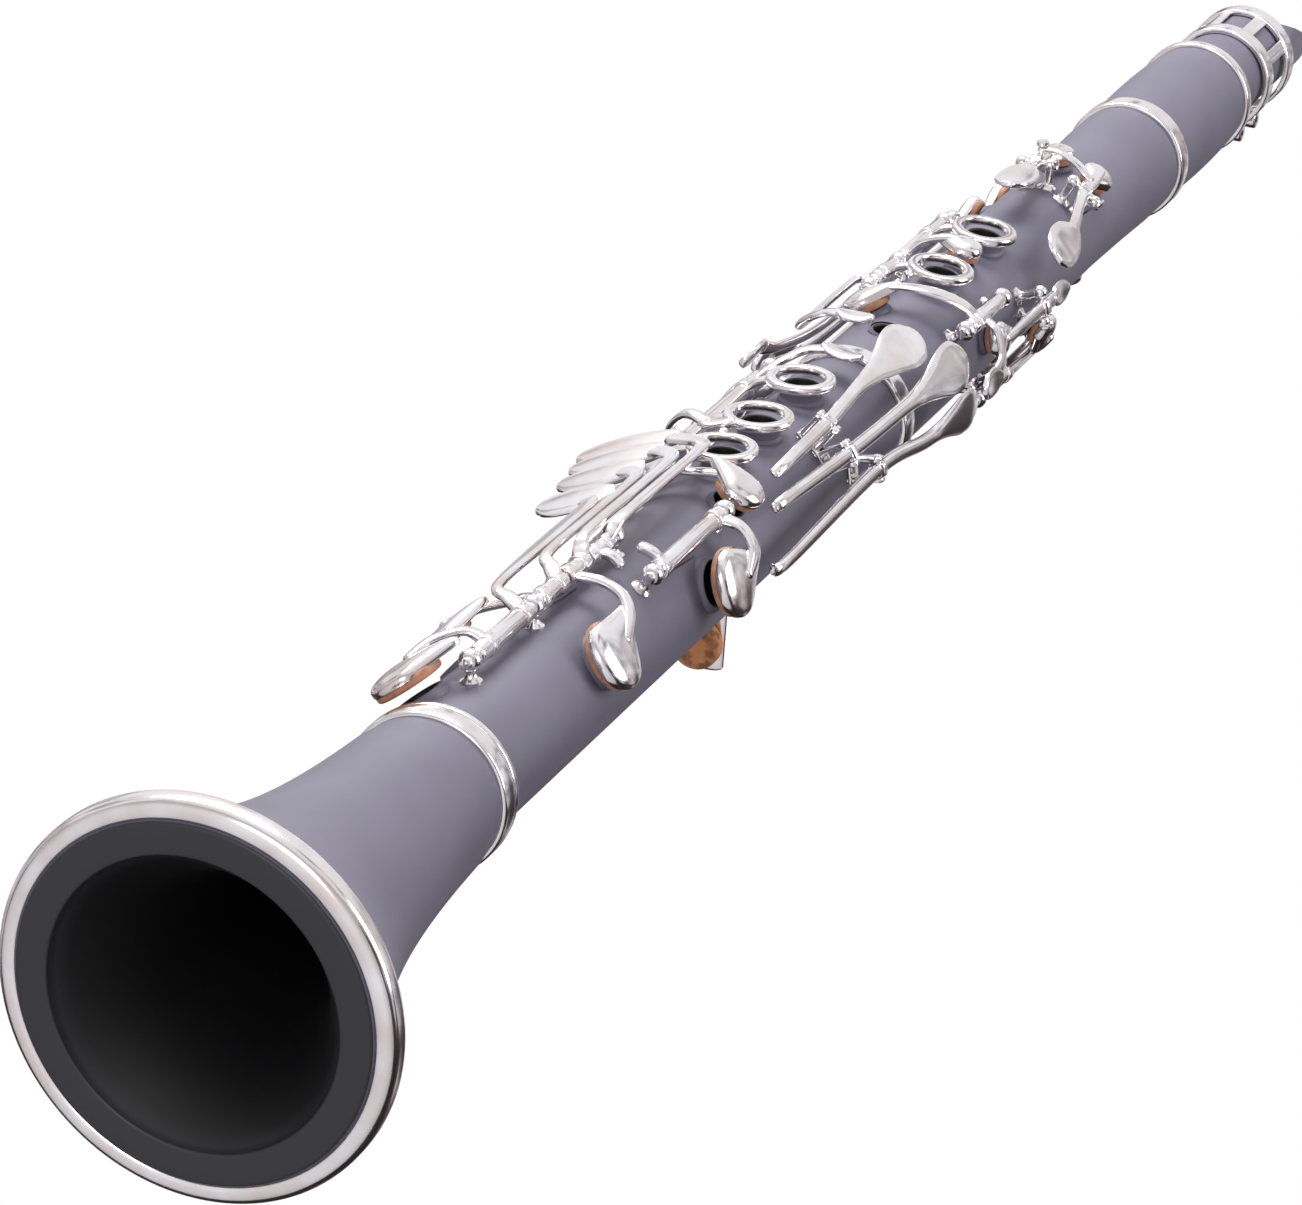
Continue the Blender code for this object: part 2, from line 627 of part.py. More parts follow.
C_SHARP = {"height": 0.150, "angle": -30.0, "radius": MIDDLE_CUP_RADIUS}
UPPER_RING_CUP = {"height": 0.331, "angle": 7.0, "radius": SMALL_CUP_RADIUS}
THUMB_CUP = {"height": 0.455, "angle": 114.0, "radius": SMALL_CUP_RADIUS}
LEFT_SLIVER = {"height": 0.262, "angle": 78.0, "radius": SMALL_CUP_RADIUS}
THROAT_A = {"height": 0.735, "angle": -6.0, "radius": SMALL_CUP_RADIUS}
THROAT_G = {"height": 0.720, "angle": 34.0, "radius": SMALL_CUP_RADIUS}
REGISTER = {"height": 0.790, "angle": 180.0, "radius": SMALL_CUP_RADIUS}
TRILL_CUPS = ({"height": 0.520, "angle": -58.0, "radius": SMALL_CUP_RADIUS},
              {"height": 0.640, "angle": -74.0, "radius": SMALL_CUP_RADIUS},
              {"height": 0.760, "angle": -88.0, "radius": SMALL_CUP_RADIUS},
              {"height": 0.860, "angle": -102.0, "radius": SMALL_CUP_RADIUS})
UPPER_PADS = (C_SHARP, UPPER_RING_CUP, THUMB_CUP, LEFT_SLIVER, THROAT_A, THROAT_G, REGISTER) + TRILL_CUPS

# Upright rods: angle, and the shares of the joint's length where posts stand
LITTLE_FINGER_LINE = -6.0
F_SHARP_LINE = 33.0
LOWER_RING_LINE = -44.0
RIGHT_SLIVER_LINE = -66.0
UPPER_RING_LINE = -40.0
C_SHARP_LINE = 53.0
THUMB_LINE = 142.0

TOUCH_LEAN = -22.0
TOUCH_SHIFT = 1.0 * MM
TOUCH_STANDOFF = 8.6 * MM
TRILL_ANGLES = (-64.0, -79.0, -94.0, -109.0)
TRILL_PIVOTS = (0.375, 0.435, 0.375, 0.435)
TRILL_TOUCHES = (-0.045, 0.030, -0.045, 0.030)
TRILL_TOUCH_TURN = (4.0, 2.0, 0.0, -2.0)
LEVER_LIFT = 6.4 * MM
ROCKER_LIFT = 6.0 * MM
TRILL_LIFT = 5.2 * MM


def little_finger_touch(share, stem_angle, stem_share, length, width=3.2 * MM):
    """Stem up the front and a long flat touch standing off to the player's right."""
    over = LOWER_RADIUS + TOUCH_STANDOFF
    place = spot(low(share), TOUCH_LEAN,
                 over + 1.0 * MM) @ Matrix.Translation((-length / 2.0 - TOUCH_SHIFT, 0.0, 0.0))
    turn = Matrix.Rotation(math.radians(96.0), 4, "Z")
    stem = arm([(low(stem_share), LITTLE_FINGER_LINE, LOWER_RADIUS + TUBE_LIFT),
                (low(stem_share) + 1.0 * MM, stem_angle, over),
                (low(share) - 5.0 * MM, stem_angle, over),
                (low(share) - 1.0 * MM, -36.0, over + 0.8 * MM)])
    return [stem, oval(place @ turn, width, length / 2.0, TOUCH_THICKNESS, 14)]


def make_lower_keys():
    body = LOWER_RADIUS
    line = body + TUBE_LIFT
    upright_line("little_finger_rod", LITTLE_FINGER_LINE, body, [low(s) for s in (0.072, 0.207, 0.390)])
    upright_key("low_e_key", LITTLE_FINGER_LINE, body, low(0.084), low(0.195),
                [cup(low(LOW_E["height"]), LOW_E["angle"], body, LOW_E["radius"], OPEN_PAD),
                 arm([(low(0.110), LITTLE_FINGER_LINE, line), (low(0.108), -20.0, line + 3.4 * MM),
                      (low(0.062), LOW_E["angle"] + 6.0, line + 3.4 * MM)])]
                + little_finger_touch(0.455, -27.0, 0.184, 17.0 * MM))
    upright_key("low_f_key", LITTLE_FINGER_LINE, body, low(0.219), low(0.272),
                [cup(low(LOW_F["height"]), LOW_F["angle"], body, LOW_F["radius"], OPEN_PAD),
                 arm([(low(0.227), LITTLE_FINGER_LINE, line), (low(0.229), -34.0, line - 0.2 * MM),
                      (low(0.175), LOW_F["angle"] + 6.0, line + 3.2 * MM)])]
                + little_finger_touch(0.525, -18.5, 0.262, 19.0 * MM))
    upright_key("a_flat_key", LITTLE_FINGER_LINE, body, low(0.278), low(0.322),
                [cup(low(A_FLAT["height"]), A_FLAT["angle"], body, A_FLAT["radius"]),
                 arm([(low(0.285), LITTLE_FINGER_LINE, line), (low(0.285), 18.0, line),
                      (low(0.262), 34.0, line + 1.2 * MM), (low(0.236), 50.0, line + 1.0 * MM)])]
                + little_finger_touch(0.574, -10.0, 0.314, 21.0 * MM))
    upright_key("f_sharp_touch", LITTLE_FINGER_LINE, body, low(0.328), low(0.378),
                [arm([(low(0.345), LITTLE_FINGER_LINE, line), (low(0.345), 12.0, line - 1.0 * MM)])]
                + little_finger_touch(0.613, -1.5, 0.368, 23.0 * MM))
    upright_line("f_sharp_rod", F_SHARP_LINE, body, [low(s) for s in (0.355, 0.528)])
    upright_key("low_f_sharp_key", F_SHARP_LINE, body, low(0.367), low(0.516),
                [cup(low(LOW_F_SHARP["height"]), LOW_F_SHARP["angle"], body, LOW_F_SHARP["radius"],
                     OPEN_PAD),
                 arm([(low(0.505), F_SHARP_LINE, line), (low(0.505), 50.0, line + 3.4 * MM),
                      (low(0.480), 66.0, line + 3.4 * MM)]),
                 arm([(low(0.374), F_SHARP_LINE, line), (low(0.374), 18.0, line + 1.4 * MM)])])
    ring_height = body + RING_CENTRE_LIFT
    rings = [ring(spot(low(share), 0.0, ring_height), RING_HOLE_RADIUS, RING_WIRE_RADIUS)
             for share in RIGHT_HAND_HOLES]
    arms = [arm([(low(share), LOWER_RING_LINE, line), (low(share), -ring_reach(body), ring_height)])
            for share in RIGHT_HAND_HOLES]
    upright_line("lower_ring_rod", LOWER_RING_LINE, body, [low(s) for s in (0.535, 0.915)])
    upright_key("lower_ring_key", LOWER_RING_LINE, body, low(0.548), low(0.883),
                rings + arms
                + [cup(low(RING_CUP["height"]), RING_CUP["angle"], body, RING_CUP["radius"], OPEN_PAD),
                   arm([(low(0.568), LOWER_RING_LINE, line), (low(0.568), 0.0, line + 0.2 * MM),
                        (low(0.570), 26.0, cup_top(body, OPEN_PAD))]),
                   arm([(low(0.873), LOWER_RING_LINE, line), (low(0.890), -30.0, line + 0.8 * MM),
                        (low(0.928), -16.0, line + 0.8 * MM), (low(0.928), 4.0, line + 0.8 * MM)]),
                   oval(spot(low(0.928), 8.0, line + 1.4 * MM), 4.5 * MM, 2.8 * MM, TOUCH_THICKNESS)])
    upright_line("right_sliver_rod", RIGHT_SLIVER_LINE, body, [low(s) for s in (0.690, 0.800)])
    upright_key("right_sliver_key", RIGHT_SLIVER_LINE, body, low(0.703), low(0.787),
                [cup(low(RIGHT_SLIVER["height"]), RIGHT_SLIVER["angle"], body, RIGHT_SLIVER["radius"]),
                 arm([(low(0.775), RIGHT_SLIVER_LINE, line), (low(0.777), -80.0, line + 0.6 * MM),
                      (low(0.865), -76.0, cup_top(body))]),
                 arm([(low(0.728), RIGHT_SLIVER_LINE, line), (low(0.722), -57.0, line + 4.8 * MM),
                      (low(0.702), -37.0, line + 4.8 * MM), (low(0.687), -22.0, line + 1.6 * MM)]),
                 oval(spot(low(0.687), -17.0, line + 2.3 * MM), 4.2 * MM, 1.9 * MM, TOUCH_THICKNESS)])


LEFT_LEVERS = (
    {"name": "left_f_sharp_lever", "pivot": (0.775, 36.0), "end": (0.640, 37.0), "touch": (0.972, 33.0),
     "reach": 10.5 * MM},
    {"name": "left_e_lever", "pivot": (0.775, 58.0), "end": (0.600, 53.0), "touch": (1.030, 60.0),
     "reach": 10.5 * MM},
    {"name": "left_f_lever", "pivot": (0.830, 80.0), "end": (0.560, 84.0), "touch": (1.045, 88.0),
     "reach": 8.0 * MM},
)


def make_left_levers():
    body = LOWER_RADIUS
    pivots = []
    for item in LEFT_LEVERS:
        share, angle = item["pivot"]
        end_share, end_angle = item["end"]
        touch_share, touch_angle = item["touch"]
        pivot = (low(share), angle, LEVER_LIFT)
        centre = body + LEVER_LIFT
        pivots.append(pivot)
        touch = spot(low(touch_share), touch_angle, centre + 3.0 * MM)
        lever(item["name"], pivot, body,
              [arm([(low(end_share), end_angle, centre), pivot[:2] + (centre,),
                    (low(touch_share) - 15.0 * MM, touch_angle, centre + 1.0 * MM),
                    (low(touch_share) - 6.0 * MM, touch_angle, centre + 2.2 * MM)]),
               oval(touch, 4.8 * MM, item["reach"], TOUCH_THICKNESS)])
    saddle("left_lever_saddle", pivots[:2], body)
    saddle("left_f_saddle", pivots[2:], body)


def make_upper_keys():
    body = UPPER_RADIUS
    line = body + TUBE_LIFT
    ring_height = body + RING_CENTRE_LIFT
    rings = [ring(spot(high(share), LEFT_RING_ANGLE, ring_height), RING_HOLE_RADIUS, RING_WIRE_RADIUS)
             for share in LEFT_HAND_HOLES]
    arms = [arm([(high(share), UPPER_RING_LINE, line),
                 (high(share), LEFT_RING_ANGLE - ring_reach(body), ring_height)])
            for share in LEFT_HAND_HOLES]
    upright_line("upper_ring_rod", UPPER_RING_LINE, body, [high(s) for s in (0.205, 0.305, 0.465)])
    upright_key("upper_ring_key", UPPER_RING_LINE, body, high(0.318), high(0.452),
                [rings[0], arms[0],
                 cup(high(UPPER_RING_CUP["height"]), UPPER_RING_CUP["angle"], body,
                     UPPER_RING_CUP["radius"], 1.2 * MM),
                 arm([(high(0.331), UPPER_RING_LINE, line),
                      (high(0.331), 4.0, cup_top(body, 1.2 * MM))])])
    upright_key("middle_ring_key", UPPER_RING_LINE, body, high(0.218), high(0.292),
                [rings[1], arms[1],
                 arm([(high(0.238), UPPER_RING_LINE, line), (high(0.236), -54.0, line + 3.4 * MM),
                      (high(0.060), -54.0, line + 3.4 * MM), (high(0.015), -30.0, line + 4.4 * MM),
                      (high(0.000), -8.0, line + 4.6 * MM)]),
                 oval(spot(high(-0.006), 0.0, line + 5.2 * MM), 4.0 * MM, 2.6 * MM, TOUCH_THICKNESS)])
    upright_line("c_sharp_rod", C_SHARP_LINE, body, [high(s) for s in (0.170, 0.296)])
    upright_key("c_sharp_key", C_SHARP_LINE, body, high(0.183), high(0.283),
                [cup(high(C_SHARP["height"]), C_SHARP["angle"], body, C_SHARP["radius"]),
                 arm([(high(0.205), C_SHARP_LINE, line), (high(0.190), 38.0, line + 0.8 * MM),
                      (high(0.162), 8.0, line + 1.0 * MM), (high(0.152), -26.0, line + 0.8 * MM)]),
                 arm([(high(0.215), C_SHARP_LINE, line), (high(0.205), 70.0, line + 4.4 * MM),
                      (high(0.170), 84.0, line + 5.2 * MM)]),
                 oval(spot(high(0.147), 86.0, line + 6.0 * MM), 3.4 * MM, 5.6 * MM, TOUCH_THICKNESS)])
    upright_line("thumb_rod", THUMB_LINE, body, [high(s) for s in (0.290, 0.500)])
    upright_key("thumb_ring_key", THUMB_LINE, body, high(0.303), high(0.487),
                [ring(spot(high(THUMB_HOLE), 180.0, ring_height), RING_HOLE_RADIUS, RING_WIRE_RADIUS),
                 arm([(high(THUMB_HOLE), THUMB_LINE, line),
                      (high(THUMB_HOLE), 180.0 - ring_reach(body), ring_height)]),
                 cup(high(THUMB_CUP["height"]), THUMB_CUP["angle"], body, THUMB_CUP["radius"]),
                 arm([(high(0.470), THUMB_LINE, line), (high(0.460), 118.0, cup_top(body))])])
    make_throat_keys()
    make_register_key()
    make_left_sliver()
    make_trill_keys()


def make_throat_keys():
    body = UPPER_RADIUS
    centre = body + ROCKER_LIFT
    pivots = {"throat_a_key": (high(0.655), -6.0, ROCKER_LIFT),
              "throat_g_sharp_key": (high(0.640), 36.0, ROCKER_LIFT)}
    cups = {"throat_a_key": THROAT_A, "throat_g_sharp_key": THROAT_G}
    touches = {"throat_a_key": (0.560, -2.0, 4.6 * MM, 8.0 * MM),
               "throat_g_sharp_key": (0.478, 54.0, 4.6 * MM, 8.0 * MM)}
    for name, pivot in pivots.items():
        pad = cups[name]
        share, angle, half_width, half_length = touches[name]
        lever(name, pivot, body,
              [cup(high(pad["height"]), pad["angle"], body, pad["radius"]),
               arm([(high(pad["height"]), pad["angle"], cup_top(body)), (pivot[0], pivot[1], centre)]),
               arm([(pivot[0], pivot[1], centre), (pivot[0] - 6.0 * MM, pivot[1], centre + 0.4 * MM),
                    (high(share) + half_length * 0.8, angle, centre + 1.6 * MM)]),
               oval(spot(high(share), angle, centre + 2.6 * MM), half_width, half_length,
                    TOUCH_THICKNESS)])
    for name, pivot in pivots.items():
        saddle(name.replace("key", "saddle"), [pivot], body)


def make_register_key():
    body = UPPER_RADIUS
    centre = body + ROCKER_LIFT
    pivot = (high(0.610), 180.0, ROCKER_LIFT)
    lever("register_key", pivot, body,
          [cup(high(REGISTER["height"]), 180.0, body, REGISTER["radius"]),
           arm([(high(REGISTER["height"]), 180.0, cup_top(body)),
                (high(REGISTER["height"]) - 8.0 * MM, 180.0, centre),
                (pivot[0], 180.0, centre), (high(0.480), 180.0, centre + 1.6 * MM)]),
           oval(spot(high(0.470), 180.0, centre + 2.6 * MM), 3.6 * MM, 6.0 * MM, TOUCH_THICKNESS)])
    saddle("register_saddle", [pivot], body)


def make_left_sliver():
    body = UPPER_RADIUS
    centre = body + ROCKER_LIFT
    pivot = (high(0.385), 78.0, ROCKER_LIFT)
    lever("left_sliver_key", pivot, body,
          [cup(high(LEFT_SLIVER["height"]), LEFT_SLIVER["angle"], body, LEFT_SLIVER["radius"]),
           arm([(high(LEFT_SLIVER["height"]), 78.0, cup_top(body)),
                (high(LEFT_SLIVER["height"]) + 8.0 * MM, 78.0, centre), (pivot[0], 78.0, centre),
                (high(0.425), 78.0, centre)]),
           oval(spot(high(0.440), 78.0, centre + 1.0 * MM), 2.6 * MM, 5.0 * MM, TOUCH_THICKNESS)])
    saddle("left_sliver_saddle", [pivot], body)


def make_trill_keys():
    """Four long side levers, each rocking on its own pin."""
    body = UPPER_RADIUS
    centre = body + TRILL_LIFT
    width = 2.0 * MM
    pivots = []
    for number, (angle, share, pad) in enumerate(zip(TRILL_ANGLES, TRILL_PIVOTS, TRILL_CUPS), start=1):
        pivot = (high(share), angle, TRILL_LIFT)
        touch_share = TRILL_TOUCHES[number - 1]
        touch_angle = angle + TRILL_TOUCH_TURN[number - 1]
        touch_lift = centre + 5.6 * MM
        lever(f"trill_key_{number}", pivot, body,
              [cup(high(pad["height"]), pad["angle"], body, pad["radius"]),
               arm([(high(pad["height"]), pad["angle"], cup_top(body)),
                    (high(pad["height"]) - 7.0 * MM, angle, centre),
                    (pivot[0], angle, centre), (high(0.110), angle, centre),
                    (high(touch_share) + 4.0 * MM, touch_angle, touch_lift - 0.8 * MM)], 1.1 * MM),
               oval(spot(high(touch_share), touch_angle, touch_lift), 3.2 * MM, 6.2 * MM,
                    TOUCH_THICKNESS)], width)
        pivots.append(pivot)
    saddle("trill_saddle_low", pivots[0::2], body, width)
    saddle("trill_saddle_high", pivots[1::2], body, width)


def make_thumb_rest():
    """Bracket behind the lower joint whose ledge sits on the right thumb."""
    height = low(0.660)
    body = LOWER_RADIUS
    ledge_height = height - LEDGE_DROP
    plate = block(spot(height, 180.0, body + GAP + 0.8 * MM), (9.0 * MM, 28.0 * MM, 1.6 * MM))
    ledge = block(spot(ledge_height, 180.0, body + GAP + 8.0 * MM),
                  (11.0 * MM, LEDGE_THICKNESS, 15.0 * MM))
    adopt(join([plate, ledge]), "thumb_rest", PLATED_NICKEL)
    pad_height = ledge_height - LEDGE_THICKNESS / 2.0 - GAP - REST_CORK / 2.0
    pad = block(spot(pad_height, 180.0, body + 9.0 * MM), (10.0 * MM, REST_CORK, 12.0 * MM))
    adopt(pad, "thumb_rest_cork", CORK)


def main():
    make_bell()
    socket_ring("bell_socket_ring", BELL_THROAT_RADIUS - RING_PROUD, BELL_LENGTH - RING_HEIGHT)
    make_lower_joint()
    make_upper_joint()
    make_barrel()
    make_corks()
    make_mouthpiece()
    make_reed()
    make_ligature()
    make_thumb_rest()
    make_lower_keys()
    make_left_levers()
    make_upper_keys()
    for name, pad, body, opened in (("low_e_pad", LOW_E, LOWER_RADIUS, OPEN_PAD),
                                    ("a_flat_pad", A_FLAT, LOWER_RADIUS, 0.0),
                                    ("low_f_sharp_pad", LOW_F_SHARP, LOWER_RADIUS, OPEN_PAD)):
        height = low(pad["height"])
        make_pad(name, height, pad["angle"], body, pad["radius"], opened)
    bpy.data.collections.remove(WORK)


main()
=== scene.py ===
"""Clarinet looks: the finished surfaces of a B-flat clarinet around its fixed frame.

Run as a script. It loads the frame, models every visible piece in millimetres,
puts it on its body and sets up the stage. Heights run up the bore from the bell
mouth, angles turn from the front (-Y) towards the player's left (+X).
"""
import math

import bmesh
import bpy
from mathutils import Matrix, Vector


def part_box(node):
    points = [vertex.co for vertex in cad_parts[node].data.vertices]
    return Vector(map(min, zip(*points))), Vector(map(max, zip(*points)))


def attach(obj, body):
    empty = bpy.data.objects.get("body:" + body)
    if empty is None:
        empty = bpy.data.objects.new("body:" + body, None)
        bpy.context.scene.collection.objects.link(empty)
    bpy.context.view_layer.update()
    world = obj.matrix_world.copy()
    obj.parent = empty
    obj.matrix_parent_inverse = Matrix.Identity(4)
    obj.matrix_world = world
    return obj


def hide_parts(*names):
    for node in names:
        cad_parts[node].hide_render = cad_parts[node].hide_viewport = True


bl_info = {
    "name": "Clarinet Looks",
    "version": (1, 0, 0),
    "blender": (4, 5, 0),
    "location": "View3D > Sidebar > Clarinet",
    "description": "Models the finished pieces of a clarinet around its frame",
    "category": "Add Mesh",
}

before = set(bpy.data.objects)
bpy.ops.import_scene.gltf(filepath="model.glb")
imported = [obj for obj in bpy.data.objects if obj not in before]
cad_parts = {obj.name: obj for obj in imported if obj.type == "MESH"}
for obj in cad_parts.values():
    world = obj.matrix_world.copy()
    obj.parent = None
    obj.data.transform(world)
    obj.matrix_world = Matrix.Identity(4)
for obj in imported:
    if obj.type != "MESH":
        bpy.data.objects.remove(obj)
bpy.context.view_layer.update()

MM = 0.001


def top_of(node):
    """Height of a frame node's upper end, in millimetres."""
    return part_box(node)[1].z / MM


def foot_of(node):
    """Height of a frame node's lower end, in millimetres."""
    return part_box(node)[0].z / MM


# Lengths read from the frame, in millimetres
BELL_TOP = top_of("bell")
LOWER_TOP = top_of("joint_ring")
BARREL_FOOT = foot_of("barrel_lower_ring")
BARREL_TOP = top_of("barrel_upper_ring")
TIP = top_of("mouthpiece")
RIM_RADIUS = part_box("bell_rim_ring")[1].x / MM
LOWER_LENGTH = LOWER_TOP - BELL_TOP
UPPER_LENGTH = BARREL_FOOT - LOWER_TOP

# Radii of the turned body
BORE = 7.4
THROAT = 16.0
LIP = 28.8
LOWER_RADIUS = 14.5
UPPER_RADIUS = 14.0
UPPER_TOP_RADIUS = 14.6
BARREL_RADIUS = 15.0
MOUTHPIECE_RADIUS = 12.0

TENON = 10.6
TENON_LENGTH = 18.0
SOCKET = 11.8

# Keywork
TUBE_LIFT = 4.4
LEVER_LIFT = 6.4
ROCKER_LIFT = 6.0
HOLE_RADIUS = 3.9
BALL = 2.4
SEAT = 0.9
OPEN = 2.2
PAD = 2.2
RING_LIFT = 4.3
LARGE_CUP = 7.6
MIDDLE_CUP = 5.6
SMALL_CUP = 4.3

# How finely shapes are drawn; an arm has stops per span, sides and squareness
BODY_STEPS = 128
SMALL_STEPS = 40
ARM_FORM = (6, 12, 2.6)


def low(share):
    """Height on the lower joint, as a share of its length."""
    return BELL_TOP + share * LOWER_LENGTH


def high(share):
    """Height on the upper joint, as a share of its length."""
    return LOWER_TOP + share * UPPER_LENGTH


def linear(code, alpha=1.0):
    """sRGB hex colour as linear red, green, blue and alpha."""
    values = [int(code[i:i + 2], 16) / 255.0 for i in (1, 3, 5)]
    return tuple(v / 12.92 if v <= 0.04045 else ((v + 0.055) / 1.055) ** 2.4 for v in values) + (alpha,)


# ---------------------------------------------------------------- settings
class ClarinetSizes(bpy.types.PropertyGroup):
    ring_wire: bpy.props.FloatProperty(
        name="Ring wire", description="Half width of a finger ring's band in millimetres", default=1.15,
        min=0.6, max=2.0)
    touch_thickness: bpy.props.FloatProperty(
        name="Touch thickness", description="Half thickness of a touch plate in millimetres", default=0.8,
        min=0.4, max=1.5)
    grain: bpy.props.FloatProperty(
        name="Body grain", description="Depth of the moulded surface's fine grain", default=0.00004,
        min=0.0, max=0.001, unit="LENGTH", precision=6)
    key_light: bpy.props.FloatProperty(
        name="Key light", description="Power of the large soft light", default=36.0, min=0.0, unit="POWER")
    fill_light: bpy.props.FloatProperty(
        name="Fill light", description="Power of the light beside the camera", default=5.0, min=0.0,
        unit="POWER")


class ClarinetColours(bpy.types.PropertyGroup):
    body: bpy.props.FloatVectorProperty(
        name="Body", description="Moulded body", subtype="COLOR", size=4, default=linear("#5e5b6b"))
    body_worn: bpy.props.FloatVectorProperty(
        name="Body, handled", description="Body where hands have dulled it", subtype="COLOR", size=4,
        default=linear("#686575"))
    # bore: a darker copy of the body's black ABS, painted shade for the inside of the bore and the bell's lip
    bore: bpy.props.FloatVectorProperty(
        name="Bore", description="Turned inner faces of the body", subtype="COLOR", size=4,
        default=linear("#232229"))
    nickel: bpy.props.FloatVectorProperty(
        name="Nickel", description="Plated keys and rings", subtype="COLOR", size=4,
        default=linear("#f0eef1"))
    nickel_warm: bpy.props.FloatVectorProperty(
        name="Nickel, warm", description="Plating where it has yellowed", subtype="COLOR", size=4,
        default=linear("#ded3d0"))
    pad: bpy.props.FloatVectorProperty(
        name="Pad skin", description="Tan skin of the pads", subtype="COLOR", size=4,
        default=linear("#b9805f"))
    cork: bpy.props.FloatVectorProperty(
        name="Cork", description="Cork of tenons and bumpers", subtype="COLOR", size=4,
        default=linear("#c08055"))
    cane: bpy.props.FloatVectorProperty(
        name="Cane", description="Cane of the reed", subtype="COLOR", size=4, default=linear("#d6c6a2"))


def sizes():
    return bpy.context.scene.clarinet_sizes


def colours():
    return bpy.context.scene.clarinet_colours


# ---------------------------------------------------------------- places
def spot(height, angle, radius):
    """Frame on the body: x round it, y up the bore, z straight out."""
    turn = math.radians(angle)
    sine, cosine = math.sin(turn), math.cos(turn)
    return Matrix(((cosine, 0.0, sine, radius * sine),
                   (sine, 0.0, -cosine, -radius * cosine),
                   (0.0, 1.0, 0.0, height),
                   (0.0, 0.0, 0.0, 1.0)))


def moved(across, back, height):
    """Place beside the axis, its frame not turned."""
    return Matrix.Translation((across, back, height))


def upright(height, angle, radius):
    """Frame whose z runs up the bore, for tubes and rods."""
    return Matrix.Translation(spot(height, angle, radius).translation)


def sideways(height, angle, radius):
    """Frame whose z runs round the body, for cross pins."""
    return spot(height, angle, radius) @ Matrix.Rotation(math.pi / 2.0, 4, "Y")


def stop(height, angle, radius, width, thickness):
    """One stop of a bar: its place, which way its back faces, and its half sizes."""
    place = spot(height, angle, radius)
    return place.translation.copy(), Vector(place.col[2][:3]), width, thickness


def arc(centre_r, centre_z, radius, first, last, steps=6):
    """Points of a round stretch of an outline, angles in degrees from +r towards +z."""
    turns = [math.radians(first + (last - first) * i / steps) for i in range(steps + 1)]
    return [(centre_r + radius * math.cos(t), centre_z + radius * math.sin(t)) for t in turns]


def drum(radius, half, edge, steps, core=0.0):
    """Outline of a drum with rounded edges, solid or round a core."""
    outline = [(core, -half)] + arc(radius - edge, -half + edge, edge, -90.0, 0.0, steps)
    return outline + arc(radius - edge, half - edge, edge, 0.0, 90.0, steps) + [(core, half)]


# ---------------------------------------------------------------- modelling tools
def deselect():
    if bpy.context.mode != "OBJECT":
        bpy.ops.object.mode_set(mode="OBJECT")
    bpy.ops.object.select_all(action="DESELECT")


def pick(*shapes):
    """Select these objects alone, the first one active."""
    deselect()
    for shape in shapes:
        shape.select_set(True)
    bpy.context.view_layer.objects.active = shapes[0]


def apply_modifier(shape, kind, **settings):
    pick(shape)
    change = shape.modifiers.new(kind.lower(), kind)
    for name, value in settings.items():
        setattr(change, name, value)
    bpy.ops.object.modifier_apply(modifier=change.name)
    return shape


def soften(shape, width, segments=2, angle=30.0):
    """Round a shape's sharp edges."""
    return apply_modifier(shape, "BEVEL", width=width, segments=segments, limit_method="ANGLE",
                          angle_limit=math.radians(angle), use_clamp_overlap=True)


def tidy_faces():
    """In edit mode: merge doubles and turn every face outwards."""
    bpy.ops.mesh.select_all(action="SELECT")
    bpy.ops.mesh.remove_doubles(threshold=0.0005)
    bpy.ops.mesh.normals_make_consistent(inside=False)
    bpy.ops.object.mode_set(mode="OBJECT")


def lathe(outline, steps=SMALL_STEPS, place=None):
    """Turned shape: one point drawn along (radius, height) stops, then spun about z."""
    deselect()
    bpy.ops.mesh.primitive_plane_add(size=1.0)
    bpy.ops.object.mode_set(mode="EDIT")
    bpy.ops.mesh.merge(type="CENTER")
    bpy.ops.transform.translate(value=(outline[0][0], 0.0, outline[0][1]))
    closed = outline[0][0] > 0.0001
    last_stops = outline[1:] + (outline[:1] if closed else [])
    for here, there in zip(outline, last_stops):
        bpy.ops.mesh.extrude_region_move(
            TRANSFORM_OT_translate={"value": (there[0] - here[0], 0.0, there[1] - here[1])})
    bpy.ops.mesh.select_all(action="SELECT")
    bpy.ops.mesh.remove_doubles(threshold=0.0001)
    bpy.ops.mesh.select_all(action="SELECT")
    bpy.ops.mesh.spin(steps=steps, angle=math.tau, center=(0.0, 0.0, 0.0), axis=(0.0, 0.0, 1.0))
    tidy_faces()
    shape = bpy.context.object
    if place is not None:
        shape.data.transform(place)
    return shape


def block(place, size, rounded=0.3):
    """Bevelled block centred on a place."""
    deselect()
    bpy.ops.mesh.primitive_cube_add(size=1.0)
    shape = bpy.context.object
    shape.data.transform(Matrix.Diagonal((*size, 1.0)))
    soften(shape, rounded)
    shape.data.transform(place)
    return shape


def between(before, start, end, after, share):
    """Smooth curve between start and end that also heeds the stops on either side."""
    square = share * share
    cube = square * share
    return 0.5 * ((2.0 * start) + (end - before) * share
                  + (2.0 * before - 5.0 * start + 4.0 * end - after) * square
                  + (3.0 * start - before - 3.0 * end + after) * cube)


def smooth_run(stops, per_span):
    """More stops on one smooth curve through the given ones."""
    run = []
    last = len(stops) - 1
    for i in range(last):
        around = [stops[max(i - 1, 0)], stops[i], stops[i + 1], stops[min(i + 2, last)]]
        for step in range(per_span):
            share = step / per_span
            run.append(tuple(between(*(item[k] for item in around), share) for k in range(4)))
    run.append(stops[last])
    return run


